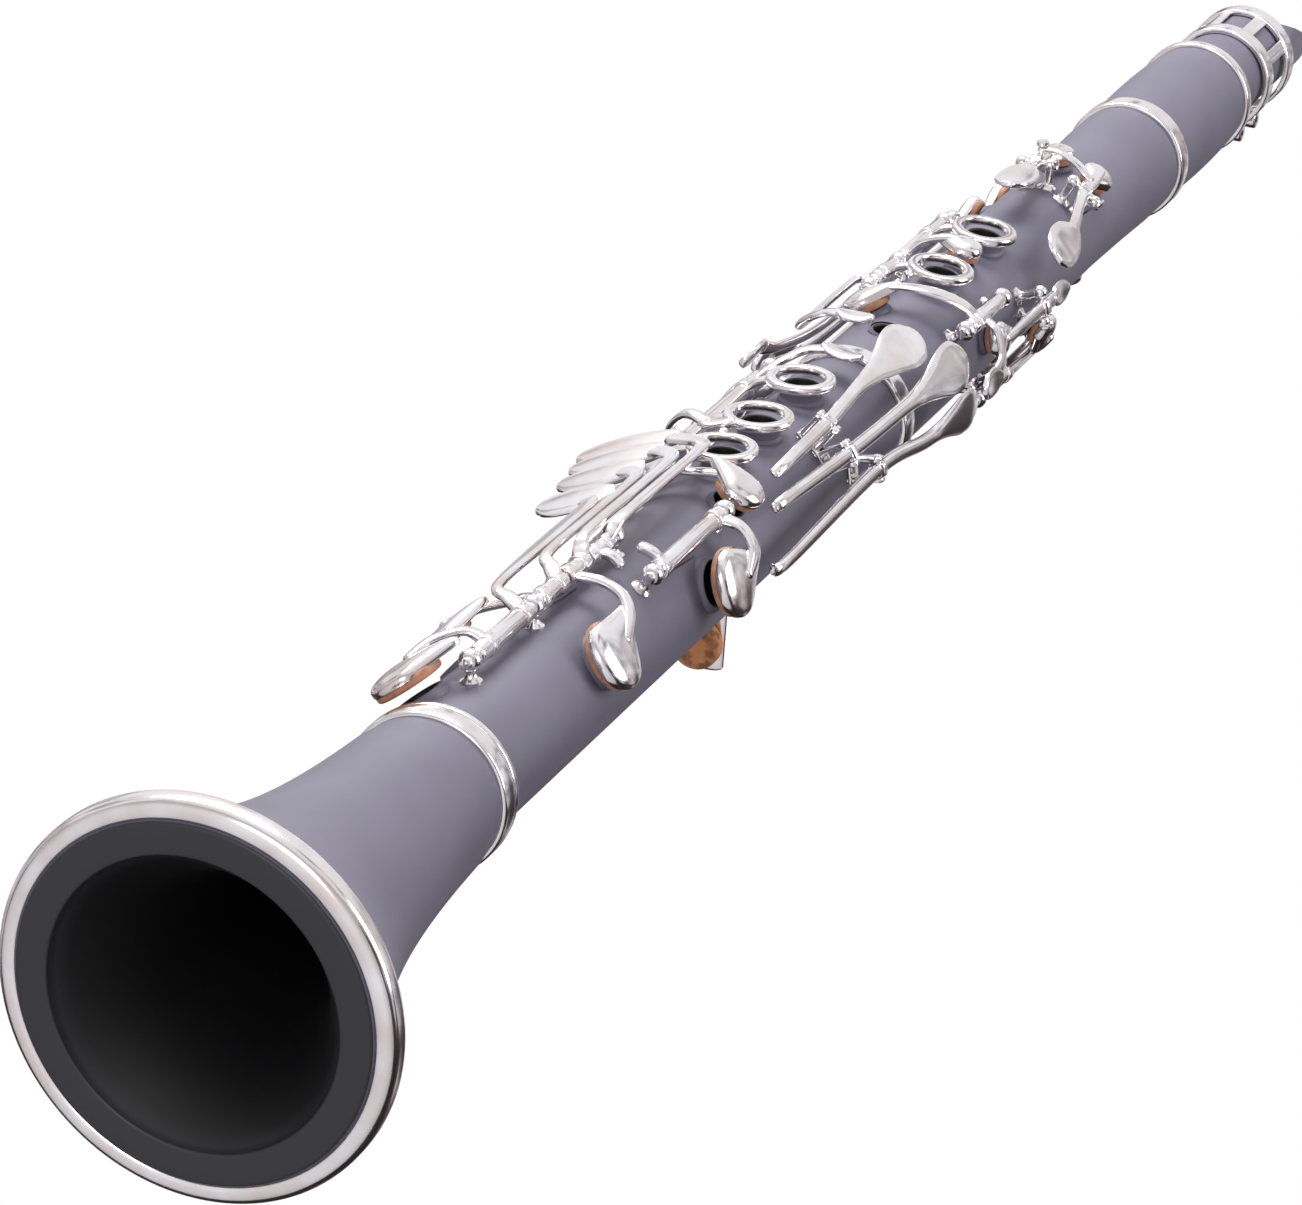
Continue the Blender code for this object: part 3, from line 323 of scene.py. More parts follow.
def bar(stops, per_span=7, sides=14, squareness=2.4, cap=None):
    """Bar drawn out stop by stop: a ring of points is extruded, moved and resized along a smooth run."""
    run = smooth_run(stops, per_span)
    places = [item[0] for item in run]
    frames = []
    for i, (place, up, width, thickness) in enumerate(run):
        heading = (places[min(i + 1, len(run) - 1)] - places[max(i - 1, 0)]).normalized()
        side = heading.cross(up).normalized()
        back = side.cross(heading)
        frames.append((place, side, back, heading, max(width, 0.05), max(thickness, 0.05)))
    cap_angles = (80.0, 58.0, 36.0, 16.0)
    sections = [rounded_end(frames[0], -1.0, turn, cap) for turn in cap_angles]
    sections += [section(*item) for item in frames]
    sections += [rounded_end(frames[-1], 1.0, turn, cap) for turn in reversed(cap_angles)]
    deselect()
    bpy.ops.mesh.primitive_circle_add(vertices=sides, radius=1.0, fill_type="NGON")
    shape = bpy.context.object
    for vertex in shape.data.vertices:
        turn = math.atan2(vertex.co.y, vertex.co.x)
        power = 2.0 / squareness
        vertex.co.x = math.copysign(abs(math.cos(turn)) ** power, math.cos(turn))
        vertex.co.y = math.copysign(abs(math.sin(turn)) ** power, math.sin(turn))
    shape.data.transform(sections[0])
    bpy.ops.object.mode_set(mode="EDIT")
    bpy.ops.mesh.select_all(action="SELECT")
    for here, there in zip(sections, sections[1:]):
        bpy.ops.mesh.extrude_region()
        shell = bmesh.from_edit_mesh(shape.data)
        moving = [vertex for vertex in shell.verts if vertex.select]
        bmesh.ops.transform(shell, matrix=there @ here.inverted(), verts=moving)
        bmesh.update_edit_mesh(shape.data)
    tidy_faces()
    return shape


def rounded_end(frame_there, sign, angle, cap):
    """Section of a bar's rounded end, this many degrees round its cap."""
    place, side, back, heading, width, thickness = frame_there
    turn = math.radians(angle)
    length = thickness if cap is None else cap
    tip = place + heading * sign * length * math.sin(turn)
    return section(tip, side, back, heading, width * math.cos(turn), thickness * math.cos(turn))


def section(place, side, back, heading, width, thickness):
    """Frame of a bar's section, scaled to its half sizes."""
    made = Matrix.Identity(4)
    for column, vector in enumerate((side * width, back * thickness, heading, place)):
        for row in range(3):
            made[row][column] = vector[row]
    return made


def arm(stops, width, thickness):
    """Strip of even section through (height, angle, radius) stops."""
    return bar([stop(*item, width, thickness) for item in stops], *ARM_FORM)


def strap(height_of, base, stops, *form):
    """Bar through (height share, angle, rise over the base radius, half width, half thickness) stops."""
    return bar([stop(height_of(share), angle, base + rise, width, thickness)
                for share, angle, rise, width, thickness in stops], *form)


def paint_bore_shade(shape, inside):
    """Give a body shape's inner faces the bore material, whose darker colour is painted shade; inside says
    which faces those are.
    """
    for name in ("moulded_abs_matte", "abs_bore_painted_shade"):
        shape.data.materials.append(bpy.data.materials[name])
    for polygon in shape.data.polygons:
        polygon.material_index = 1 if inside(polygon.center, polygon.normal) else 0
    return shape


def faces_axis(centre, normal):
    """Whether a face looks in towards the z axis."""
    return normal.x * centre.x + normal.y * centre.y < -0.05 * math.hypot(centre.x, centre.y)


def cut(shape, cutter):
    """Take a cutter out of a shape and remove it."""
    apply_modifier(shape, "BOOLEAN", operation="DIFFERENCE", object=cutter, solver="EXACT")
    bpy.data.objects.remove(cutter, do_unlink=True)
    return shape


def finish(name, shapes, body, material, nodes=(), smooth=38.0):
    """Join shapes into one piece in metres, give it its material and put it on its body."""
    for shape in shapes:
        if not shape.data.materials:
            shape.data.materials.append(bpy.data.materials[material])
    pick(*shapes)
    if len(shapes) > 1:
        bpy.ops.object.join()
    piece = bpy.context.object
    piece.name = name
    piece.data.name = name
    piece.data.transform(Matrix.Scale(MM, 4))
    bpy.ops.object.shade_smooth_by_angle(angle=math.radians(smooth))
    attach(piece, body)
    if nodes:
        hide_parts(*nodes)
    return piece


def metal(name, shapes, body, nodes=()):
    return finish(name, shapes, body, "polished_nickel_plate", nodes)


# ---------------------------------------------------------------- materials
def add(tree, kind, settings=None, inputs=None):
    """Add a node: settings are its own values, inputs are numbers or other nodes' outputs."""
    made = tree.nodes.new(kind)
    for name, value in (settings or {}).items():
        setattr(made, name, value)
    for name, value in (inputs or {}).items():
        if isinstance(value, bpy.types.NodeSocket):
            tree.links.new(value, made.inputs[name])
        else:
            made.inputs[name].default_value = value
    return made


def blank(name, **values):
    """Material with one Principled shader, its even values set on the shader itself."""
    made = bpy.data.materials.new(name)
    made.use_nodes = True
    tree = made.node_tree
    shader = tree.nodes["Principled BSDF"]
    for key, value in values.items():
        shader.inputs[key.replace("_", " ")].default_value = value
    return tree, shader, add(tree, "ShaderNodeTexCoord").outputs["Object"]


def noise(tree, place, scale, detail=2.0):
    """Cloudy value, 0 to 1, at a place."""
    made = add(tree, "ShaderNodeTexNoise", None, {"Vector": place, "Scale": scale, "Detail": detail})
    return made.outputs["Fac"]


def ramp(tree, factor, stops):
    """Colour that runs through (place, colour) stops."""
    made = add(tree, "ShaderNodeValToRGB", None, {"Fac": factor})
    elements = made.color_ramp.elements
    while len(elements) < len(stops):
        elements.new(0.5)
    for element, (place, colour) in zip(elements, stops):
        element.position = place
        element.color = tuple(colour)
    return made.outputs["Color"]


def tint(tree, shader, factor, *stops):
    """Base colour from a ramp."""
    tree.links.new(ramp(tree, factor, stops), shader.inputs["Base Color"])


def roughen(tree, shader, factor, least, most):
    """Roughness that wanders between two values."""
    made = add(tree, "ShaderNodeMapRange", None, {"Value": factor, "To Min": least, "To Max": most})
    tree.links.new(made.outputs["Result"], shader.inputs["Roughness"])


def emboss(tree, shader, height, strength, distance):
    """Fine relief."""
    made = add(tree, "ShaderNodeBump", None, {"Height": height, "Strength": strength, "Distance": distance})
    tree.links.new(made.outputs["Normal"], shader.inputs["Normal"])


def darker(colour, share):
    """Colour dimmed to a share of itself."""
    return tuple(value * share for value in tuple(colour)[:3]) + (1.0,)


def moulded_body():
    """Moulded ABS, spark-eroded in the mould: a soft grey-violet sheen with a fine even grain."""
    tree, shader, place = blank("moulded_abs_matte", IOR=1.53, Specular_IOR_Level=0.5)
    cloud = noise(tree, place, 38.0, 4.0)
    tint(tree, shader, cloud, (0.32, colours().body), (0.7, colours().body_worn))
    roughen(tree, shader, cloud, 0.42, 0.56)
    emboss(tree, shader, noise(tree, place, 2400.0, 3.0), 0.5, sizes().grain)


def painted_bore_shade():
    """Black ABS off the reamer, smoother than the outside; its darker colour is painted shade, grey at the lip
    and near black further in.
    """
    tree, shader, place = blank("abs_bore_painted_shade", IOR=1.5)
    height = add(tree, "ShaderNodeSeparateXYZ", None, {"Vector": place}).outputs["Z"]
    # painted shade: the colour darkens from the lip to near black a few millimetres up the bore
    shade_depth = add(tree, "ShaderNodeMapRange", None, {"Value": height, "From Min": 0.0005, "From Max": 0.004})
    tint(tree, shader, shade_depth.outputs["Result"], (0.0, colours().bore), (1.0, darker(colours().bore, 0.16)))
    roughen(tree, shader, noise(tree, place, 60.0), 0.4, 0.5)


def nickel():
    """Bright nickel plate over nickel silver: mirror-like, a little wavy from the buffing wheel."""
    tree, shader, place = blank("polished_nickel_plate", Metallic=1.0)
    cloud = noise(tree, place, 90.0, 3.0)
    tint(tree, shader, cloud, (0.35, colours().nickel), (0.72, colours().nickel_warm))
    roughen(tree, shader, cloud, 0.1, 0.24)
    emboss(tree, shader, noise(tree, place, 420.0), 0.25, 0.00008)


def pad_skin():
    """Fish-skin pad dyed tan: soft sheen, tiny wrinkles."""
    tree, shader, place = blank("pad_skin_tan", Roughness=0.55, Sheen_Weight=0.2)
    wrinkles = noise(tree, place, 700.0, 5.0)
    tint(tree, shader, wrinkles, (0.3, darker(colours().pad, 0.6)), (0.65, colours().pad))
    emboss(tree, shader, wrinkles, 0.4, 0.0002)


def cork():
    """Natural cork: orange-brown with darker lenticels and an open grain."""
    tree, shader, place = blank("natural_cork", Roughness=0.85)
    cells = add(tree, "ShaderNodeTexVoronoi", None, {"Vector": place, "Scale": 900.0})
    flecks = noise(tree, place, 300.0, 6.0)
    tint(tree, shader, flecks, (0.36, darker(colours().cork, 0.4)), (0.5, colours().cork))
    emboss(tree, shader, cells.outputs["Distance"], 0.6, 0.0003)


def cane():
    """Scraped cane: straw yellow with fine fibres along its length."""
    tree, shader, place = blank("scraped_cane", Roughness=0.5)
    stretched = add(tree, "ShaderNodeMapping", None, {"Vector": place, "Scale": (2200.0, 2200.0, 40.0)})
    fibres = noise(tree, stretched.outputs["Vector"], 1.0, 3.0)
    tint(tree, shader, fibres, (0.35, darker(colours().cane, 0.62)), (0.6, colours().cane))
    emboss(tree, shader, fibres, 0.3, 0.0001)


def blued_steel():
    """Blued spring steel: dark blue-brown, half bright."""
    tree, shader, place = blank("blued_spring_steel", Metallic=1.0, Roughness=0.3)
    tint(tree, shader, noise(tree, place, 150.0), (0.4, linear("#2b3046")), (0.62, linear("#4c3a38")))


def paper_floor():
    """Matt studio paper: even and pale, with the faintest mottle."""
    tree, shader, place = blank("studio_paper", Roughness=0.9)
    tint(tree, shader, noise(tree, place, 30.0), (0.3, linear("#f1f1f1")), (0.7, linear("#f6f6f6")))


# ---------------------------------------------------------------- stage
CAMERA_PLACE = Vector((0.3834, -0.4704, -0.7832))
CAMERA_RIGHT = Vector((0.91998, -0.06594, 0.38637))
CAMERA_DOWN = Vector((0.21315, 0.91141, -0.35198))
CAMERA_AHEAD = Vector((-0.32893, 0.40617, 0.85254))
LENS = 154.5


def aimed(place, target):
    """Matrix of a light at a place that shines on a target."""
    place = Vector(place)
    turn = (Vector(target) - place).to_track_quat("-Z", "Y").to_matrix().to_4x4()
    return Matrix.Translation(place) @ turn


class CLARINET_OT_stage(bpy.types.Operator):
    """Camera, soft lights, pale surroundings and floor"""
    bl_idname = "clarinet.stage"
    bl_label = "Stage"

    def execute(self, context):
        scene = context.scene
        scene.view_settings.view_transform = "Standard"
        camera = bpy.data.cameras.new("camera")
        camera.lens = LENS
        camera.sensor_width = 36.0
        camera.sensor_fit = "HORIZONTAL"
        camera.clip_end = 20.0
        holder = bpy.data.objects.new("camera", camera)
        scene.collection.objects.link(holder)
        columns = (CAMERA_RIGHT, -CAMERA_DOWN, -CAMERA_AHEAD)
        turn = Matrix([[column[row] for column in columns] for row in range(3)])
        holder.matrix_world = Matrix.Translation(CAMERA_PLACE) @ turn.to_4x4()
        scene.camera = holder
        middle = (0.0, 0.0, 0.3)
        lights = {"key": ((-0.55, -1.5, 1.0), 1.4, sizes().key_light),
                  "rim": ((1.6, -0.5, 0.9), 1.1, sizes().key_light * 0.45),
                  "fill": ((0.2, -0.9, -1.1), 0.8, sizes().fill_light)}
        for name, (place, size, power) in lights.items():
            lamp = bpy.data.lights.new(name, "AREA")
            lamp.shape = "RECTANGLE"
            lamp.size = size
            lamp.size_y = size * 0.7
            lamp.energy = power
            light = bpy.data.objects.new(name, lamp)
            scene.collection.objects.link(light)
            light.matrix_world = aimed(place, middle)
        self.surroundings(scene)
        deselect()
        bpy.ops.mesh.primitive_plane_add(size=9.0, location=(0.0, 0.0, -1.45))
        floor = context.object
        floor.name = "floor"
        floor.data.materials.append(bpy.data.materials["studio_paper"])
        return {"FINISHED"}

    def surroundings(self, scene):
        """White to the camera; a soft grey room with dark and light bands to everything else."""
        world = bpy.data.worlds.new("studio")
        scene.world = world
        world.use_nodes = True
        tree = world.node_tree
        tree.nodes.clear()
        direction = add(tree, "ShaderNodeTexCoord").outputs["Object"]
        front = add(tree, "ShaderNodeVectorMath", {"operation": "DOT_PRODUCT"},
                    {0: direction, 1: Vector((-0.25, -0.85, 0.46))})
        share = add(tree, "ShaderNodeMapRange", None, {
            "Value": front.outputs["Value"], "From Min": -1.0, "To Min": -0.08, "To Max": 0.9})
        wander = add(tree, "ShaderNodeMapRange", None, {
            "Value": noise(tree, direction, 3.6), "From Min": 0.3, "From Max": 0.7,
            "To Min": -0.24, "To Max": 0.24})
        mixed = add(tree, "ShaderNodeMath", {"operation": "ADD"},
                    {0: share.outputs["Result"], 1: wander.outputs["Result"]})
        cold = (0.98, 0.97, 1.0, 1.0)
        room = ramp(tree, mixed.outputs["Value"], [
            (0.0, (0.02, 0.016, 0.018, 1.0)), (0.34, (0.06, 0.045, 0.05, 1.0)),
            (0.4, (0.34, 0.30, 0.31, 1.0)),
            (0.5, cold), (0.55, (0.10, 0.075, 0.08, 1.0)), (0.62, (0.5, 0.48, 0.5, 1.0)), (0.68, cold),
            (1.0, (1.0, 1.0, 1.0, 1.0))])
        soft = add(tree, "ShaderNodeBackground", None, {"Color": room, "Strength": 0.95})
        white = add(tree, "ShaderNodeBackground", None, {"Color": (1.0, 1.0, 1.0, 1.0), "Strength": 1.0})
        path = add(tree, "ShaderNodeLightPath")
        mix = add(tree, "ShaderNodeMixShader", None,
                  {0: path.outputs["Is Camera Ray"], 1: soft.outputs[0], 2: white.outputs[0]})
        add(tree, "ShaderNodeOutputWorld", None, {"Surface": mix.outputs[0]})


# ---------------------------------------------------------------- turned body
def flare(height):
    """Outer radius of the bell."""
    return THROAT - 0.7 + (RIM_RADIUS - THROAT + 3.5) * math.exp(-height / (0.31 * BELL_TOP))


def inner_flare(height):
    """Inner radius of the bell, behind its lip."""
    return BORE + 2.0 + (LIP - BORE - 2.0) * math.exp(-height / 24.0)


class CLARINET_OT_bell(bpy.types.Operator):
    """Bell with its flat lip, and the rim ring around it"""
    bl_idname = "clarinet.bell"
    bl_label = "Bell"

    def execute(self, context):
        outside = [(THROAT - 0.9, BELL_TOP), (THROAT - 0.9, BELL_TOP - 6.8), (THROAT + 0.1, BELL_TOP - 6.8)]
        steps = 26
        for i in range(steps + 1):
            height = 92.0 + (6.6 - 92.0) * i / steps
            outside.append((flare(height), height))
        lip = [(RIM_RADIUS - 3.4, 6.5), (RIM_RADIUS - 4.1, 4.0), (RIM_RADIUS - 4.1, 1.0)]
        lip += arc(RIM_RADIUS - 4.9, 0.8, 0.8, 0.0, -90.0, 4)
        lip += arc(LIP + 0.7, 0.7, 0.7, -90.0, -180.0, 4)
        inside = []
        for i in range(1, 17):
            height = 86.0 * (i / 16.0) ** 1.6
            inside.append((inner_flare(height), 0.8 + height))
        socket = [(SOCKET, BELL_TOP - TENON_LENGTH), (SOCKET, BELL_TOP)]
        bell = lathe(outside + lip + inside + socket, BODY_STEPS)
        # painted shade on the lip and the inside of the bell
        paint_bore_shade(bell, lambda centre, normal: faces_axis(centre, normal) or (normal.z < -0.5 and centre.z < 2.0))
        finish("fine_bell", [bell], "body", "moulded_abs_matte", ["bell"], 30.0)
        inner = RIM_RADIUS - 4.2
        rim = [(inner, 1.15)]
        rim += arc(inner + 1.3, 2.0, 1.6, -120.0, -90.0, 3)
        rim += arc(RIM_RADIUS - 2.3, 2.7, 2.3, -90.0, 0.0, 8)
        rim += arc(RIM_RADIUS - 2.0, 4.4, 2.0, 0.0, 90.0, 8)
        rim += [(RIM_RADIUS - 3.4, 6.3), (inner, 5.2)]
        metal("fine_bell_rim_ring", [lathe(rim, BODY_STEPS)], "body", ["bell_rim_ring"])
        return {"FINISHED"}


def band(seat, low_end, high_end, proud=1.6, edge=0.8):
    """Rounded band of sheet metal round a socket."""
    outer = seat + proud
    outline = [(seat - 0.6, low_end)]
    outline += arc(outer - edge, low_end + edge, edge, -90.0, 0.0, 5)
    outline += arc(outer - edge, high_end - edge, edge, 0.0, 90.0, 5)
    outline += [(seat - 0.6, high_end)]
    return lathe(outline, BODY_STEPS)


class CLARINET_OT_rings(bpy.types.Operator):
    """Metal rings round the sockets of the bell, the joints and the barrel"""
    bl_idname = "clarinet.rings"
    bl_label = "Socket rings"

    def execute(self, context):
        seat = THROAT - 0.6
        double = [band(seat, BELL_TOP - 6.9, BELL_TOP - 1.9),
                  band(seat, BELL_TOP - 1.7, BELL_TOP + 0.2, 1.25, 0.6)]
        metal("fine_bell_socket_ring", double, "body", ["bell_socket_ring"])
        metal("fine_joint_ring", [band(LOWER_RADIUS - 0.1, LOWER_TOP - 6.6, LOWER_TOP - 0.4, 1.4)], "body",
              ["joint_ring"])
        seat = BARREL_RADIUS - 1.0
        metal("fine_barrel_lower_ring", [band(seat, BARREL_FOOT + 0.1, BARREL_FOOT + 6.4)], "body",
              ["barrel_lower_ring"])
        metal("fine_barrel_upper_ring", [band(seat, BARREL_TOP - 3.4, BARREL_TOP, 1.3, 0.7)], "body",
              ["barrel_upper_ring"])
        return {"FINISHED"}


def chimney(height, angle, body_radius, rise, bore):
    """Raised, round-lipped wall of a tone hole."""
    wall = 0.8
    outline = [(bore, -2.0), (bore, rise - 0.4)] + arc(bore + 0.4, rise - 0.4, 0.4, 180.0, 90.0, 3)
    outline += arc(bore + wall - 0.3, rise - 0.3, 0.3, 90.0, 0.0, 3)
    outline += [(bore + wall, 0.6), (bore + wall + 0.5, 0.0), (bore + wall + 0.5, -2.0)]
    # painted shade on the inner wall of the hole
    shape = paint_bore_shade(lathe(outline, SMALL_STEPS), faces_axis)
    shape.data.transform(spot(height, angle, body_radius))
    return shape


def drill(height, angle, bore, reach):
    """Cutter for a tone hole, from inside the bore out past the body."""
    return lathe([(0.0, 0.0), (bore, 0.0), (bore, reach), (0.0, reach)], 28, spot(height, angle, BORE - 3.0))


RIGHT_HAND_HOLES = (0.847, 0.734, 0.640)
LEFT_HAND_HOLES = (0.408, 0.255)
THIRD_HOLE = 0.082
LEFT_RING_ANGLE = 7.0
THUMB_HOLE = 0.385

# Pads: height, angle, cup radius, body radius
LOW_E = (low(0.045), -40.0, LARGE_CUP, LOWER_RADIUS)
LOW_F = (low(0.155), -52.0, LARGE_CUP, LOWER_RADIUS)
LOW_F_SKIN = LOW_F[:2] + (LARGE_CUP - 0.6, LOWER_RADIUS)
A_FLAT = (low(0.226), 54.0, LARGE_CUP, LOWER_RADIUS)
LOW_F_SHARP = (low(0.468), 70.0, LARGE_CUP, LOWER_RADIUS)
RING_CUP = (low(0.572), 30.0, MIDDLE_CUP, LOWER_RADIUS)
RIGHT_SLIVER = (low(0.878), -70.0, MIDDLE_CUP, LOWER_RADIUS)
C_SHARP = (high(0.150), -30.0, MIDDLE_CUP, UPPER_RADIUS)
UPPER_RING_CUP = (high(0.331), 7.0, SMALL_CUP, UPPER_RADIUS)
THUMB_CUP = (high(0.455), 114.0, SMALL_CUP, UPPER_RADIUS)
LEFT_SLIVER = (high(0.262), 78.0, SMALL_CUP, UPPER_RADIUS)
THROAT_A = (high(0.735), -6.0, SMALL_CUP, UPPER_RADIUS)
THROAT_G = (high(0.720), 34.0, SMALL_CUP, UPPER_RADIUS)
REGISTER = (high(0.790), 180.0, SMALL_CUP, UPPER_RADIUS)
TRILLS = tuple((high(share), angle, SMALL_CUP, UPPER_RADIUS)
               for share, angle in ((0.520, -58.0), (0.640, -74.0), (0.760, -88.0), (0.860, -102.0)))


def seats(*pads):
    """Hole under each pad: its height, angle, rise and bore."""
    return [(height, angle, SEAT, radius * 0.62) for height, angle, radius, _ in pads]


def drilled(name, node, outline, holes, radius):
    """Joint with open tone holes, each with its raised wall."""
    shape = lathe(outline, BODY_STEPS)
    walls = []
    for height, angle, rise, bore in holes:
        cut(shape, drill(height, angle, bore, radius + 4.0))
        walls.append(chimney(height, angle, radius, rise, bore))
    # painted shade on the inside of the bore
    paint_bore_shade(shape, lambda centre, normal: math.hypot(centre.x, centre.y) < radius - 1.2)
    finish(name, [shape] + walls, "body", "moulded_abs_matte", [node], 32.0)


class CLARINET_OT_joints(bpy.types.Operator):
    """Lower and upper joints with their tone holes"""
    bl_idname = "clarinet.joints"
    bl_label = "Joints"

    def execute(self, context):
        radius = LOWER_RADIUS
        seat = radius - 0.8
        foot = BELL_TOP + 0.3
        rim = LOWER_TOP - 0.4
        step = LOWER_TOP - 6.8
        floor = LOWER_TOP - TENON_LENGTH - 1.0
        outline = [(seat, rim), (seat, step), (radius, step), (radius, foot + 0.3), (radius - 0.3, foot),
                   (TENON, foot), (TENON, foot - TENON_LENGTH), (BORE, foot - TENON_LENGTH), (BORE, floor),
                   (SOCKET, floor), (SOCKET, rim)]
        holes = [(low(share), 0.0, 3.2, HOLE_RADIUS) for share in RIGHT_HAND_HOLES]
        holes += seats(LOW_E, LOW_F, A_FLAT, LOW_F_SHARP, RING_CUP, RIGHT_SLIVER)
        drilled("fine_lower_joint", "lower_joint", outline, holes, LOWER_RADIUS)
        foot = LOWER_TOP + 0.3
        top = BARREL_FOOT - 0.3
        radius = UPPER_RADIUS
        outline = [(TENON, top + TENON_LENGTH), (TENON, top), (UPPER_TOP_RADIUS - 0.4, top),
                   (UPPER_TOP_RADIUS, top - 0.4), (UPPER_TOP_RADIUS, high(0.93)), (radius + 0.1, high(0.84)),
                   (radius - 0.3, high(0.72)), (radius, high(0.5)), (radius, foot + 0.4), (radius - 0.4, foot),
                   (TENON, foot), (TENON, foot - TENON_LENGTH), (BORE, foot - TENON_LENGTH),
                   (BORE, top + TENON_LENGTH)]
        holes = [(high(share), LEFT_RING_ANGLE, 3.2, HOLE_RADIUS) for share in LEFT_HAND_HOLES]
        holes += [(high(THIRD_HOLE), LEFT_RING_ANGLE, 0.3, 3.2), (high(THUMB_HOLE), 180.0, 3.2, HOLE_RADIUS)]
        holes += seats(C_SHARP, UPPER_RING_CUP, THUMB_CUP, LEFT_SLIVER, THROAT_A, THROAT_G, REGISTER, *TRILLS)
        drilled("fine_upper_joint", "upper_joint", outline, holes, UPPER_RADIUS)
        return {"FINISHED"}


class CLARINET_OT_barrel(bpy.types.Operator):
    """Barrel with its gentle belly, and the cork of the tenons"""
    bl_idname = "clarinet.barrel"
    bl_label = "Barrel"

    def execute(self, context):
        seat = BARREL_RADIUS - 1.2
        first, last = BARREL_FOOT + 6.5, BARREL_TOP - 3.5
        outline = [(seat, BARREL_TOP), (seat, last)]
        steps = 12
        for i in range(steps + 1):
            share = i / steps
            height = last + (first - last) * share
            outline.append((seat + 0.5 + 0.75 * math.sin(math.pi * share) ** 0.8, height))
        deep = TENON_LENGTH + 0.3
        outline += [(seat, first), (seat, BARREL_FOOT), (SOCKET, BARREL_FOOT), (SOCKET, BARREL_FOOT + deep),
                    (BORE, BARREL_FOOT + deep), (BORE, BARREL_TOP - deep), (SOCKET, BARREL_TOP - deep),
                    (SOCKET, BARREL_TOP)]
        # painted shade inside the barrel's bore and sockets
        barrel = paint_bore_shade(lathe(outline, BODY_STEPS), faces_axis)
        finish("fine_barrel", [barrel], "body", "moulded_abs_matte", ["barrel"], 30.0)
        for node in ("bell_tenon_cork", "middle_tenon_cork", "barrel_tenon_cork", "mouthpiece_cork"):
            first, last = foot_of(node), top_of(node)
            wrap = [(10.75, first), (11.3, first), (11.5, first + 0.5), (11.5, last - 0.5), (11.3, last),
                    (10.75, last)]
            finish("fine_" + node, [lathe(wrap, 64)], "body", "natural_cork", [node])
        return {"FINISHED"}


# ---------------------------------------------------------------- mouthpiece
class CLARINET_OT_mouthpiece(bpy.types.Operator):
    """Mouthpiece with its beak, table and window"""
    bl_idname = "clarinet.mouthpiece"
    bl_label = "Mouthpiece"

    def execute(self, context):
        base = BARREL_TOP + 0.3
        length = TIP - base
        shoulder = base + 0.44 * length
        radius = MOUTHPIECE_RADIUS
        outline = [(0.0, TIP), (radius - 2.0, TIP)]
        steps = 14
        for i in range(steps + 1):
            share = i / steps
            outline.append((radius - 0.6 * (1.0 - share) ** 0.7, TIP - (length - 2.0) * share))
        outline += [(radius - 0.5, base + 0.6), (radius - 0.9, base), (TENON, base),
                    (TENON, base - TENON_LENGTH), (BORE, base - TENON_LENGTH), (BORE - 0.4, base + 45.0),
                    (3.0, TIP - 12.0), (0.0, TIP - 12.0)]
        shape = lathe(outline, 96)
        tip_y = 6.5
        beak_rise = tip_y - 0.7 + radius
        beak_run = TIP - shoulder
        table = radius - 2.6
        reach = 60.0
        half = reach / 2.0
        facing_length = 24.0
        nose = moved(0.0, -radius, shoulder) @ Matrix.Rotation(-math.atan2(beak_rise, beak_run), 4, "X")
        facing = moved(0.0, table, TIP - facing_length) @ Matrix.Rotation(
            math.atan2(table - tip_y, facing_length), 4, "X")
        cutters = [(nose @ moved(0.0, -half, half), (reach, reach, 3.0 * reach)),
                   (moved(0.0, table + half, base + 7.0 + length / 2.0), (reach, reach, length)),
                   (facing @ moved(0.0, half, half), (reach, reach, reach)),
                   (moved(0.0, table, TIP - 21.0), (9.5, 2.0 * table, 32.0))]
        for side in (-1.0, 1.0):
            lean = moved(side * radius, 0.0, shoulder) @ Matrix.Rotation(
                -side * math.atan2(radius - 6.6, beak_run), 4, "Y")
            cutters.append((lean @ moved(side * half, 0.0, reach), (reach, 2.0 * reach, 2.0 * reach)))
        for place, size in cutters:
            cut(shape, block(place, size, 0.3))
        soften(shape, 0.25, 2, 40.0)
        finish("fine_mouthpiece", [shape], "body", "moulded_abs_matte", ["mouthpiece"], 32.0)
        self.reed(table + 0.3)
        return {"FINISHED"}

    def reed(self, table):
        """Reed: a flat back, an arched bark and a thin scraped vamp."""
        first, last = foot_of("reed"), top_of("reed")
        vamp = last - 34.0
        deselect()
        bpy.ops.mesh.primitive_grid_add(x_subdivisions=16, y_subdivisions=60, size=1.0)
        shape = bpy.context.object
        for vertex in shape.data.vertices:
            across = vertex.co.x * 2.0
            height = first + (vertex.co.y + 0.5) * (last - first)
            half = 5.7 + 0.8 * (height - first) / (last - first)
            arch = 2.9 * (1.0 - 0.55 * across * across)
            thin = 1.0 if height < vamp else max(0.05, 1.0 - ((height - vamp) / (last - vamp)) ** 0.75)
            reach = 1.0 - 0.35 * max(0.0, (height - last + 4.0) / 4.0) ** 2 * across * across
            if height < last - 4.0:
                reach = 1.0
            vertex.co = (across * half * reach, table + 0.15 + arch * thin, height)
        bpy.ops.object.mode_set(mode="EDIT")
        bpy.ops.mesh.select_all(action="SELECT")
        bpy.ops.mesh.extrude_region()
        shell = bmesh.from_edit_mesh(shape.data)
        for vertex in shell.verts:
            if vertex.select:
                vertex.co.y = table
        bmesh.update_edit_mesh(shape.data)
        tidy_faces()
        finish("fine_reed", [shape], "body", "scraped_cane", ["reed"], 50.0)


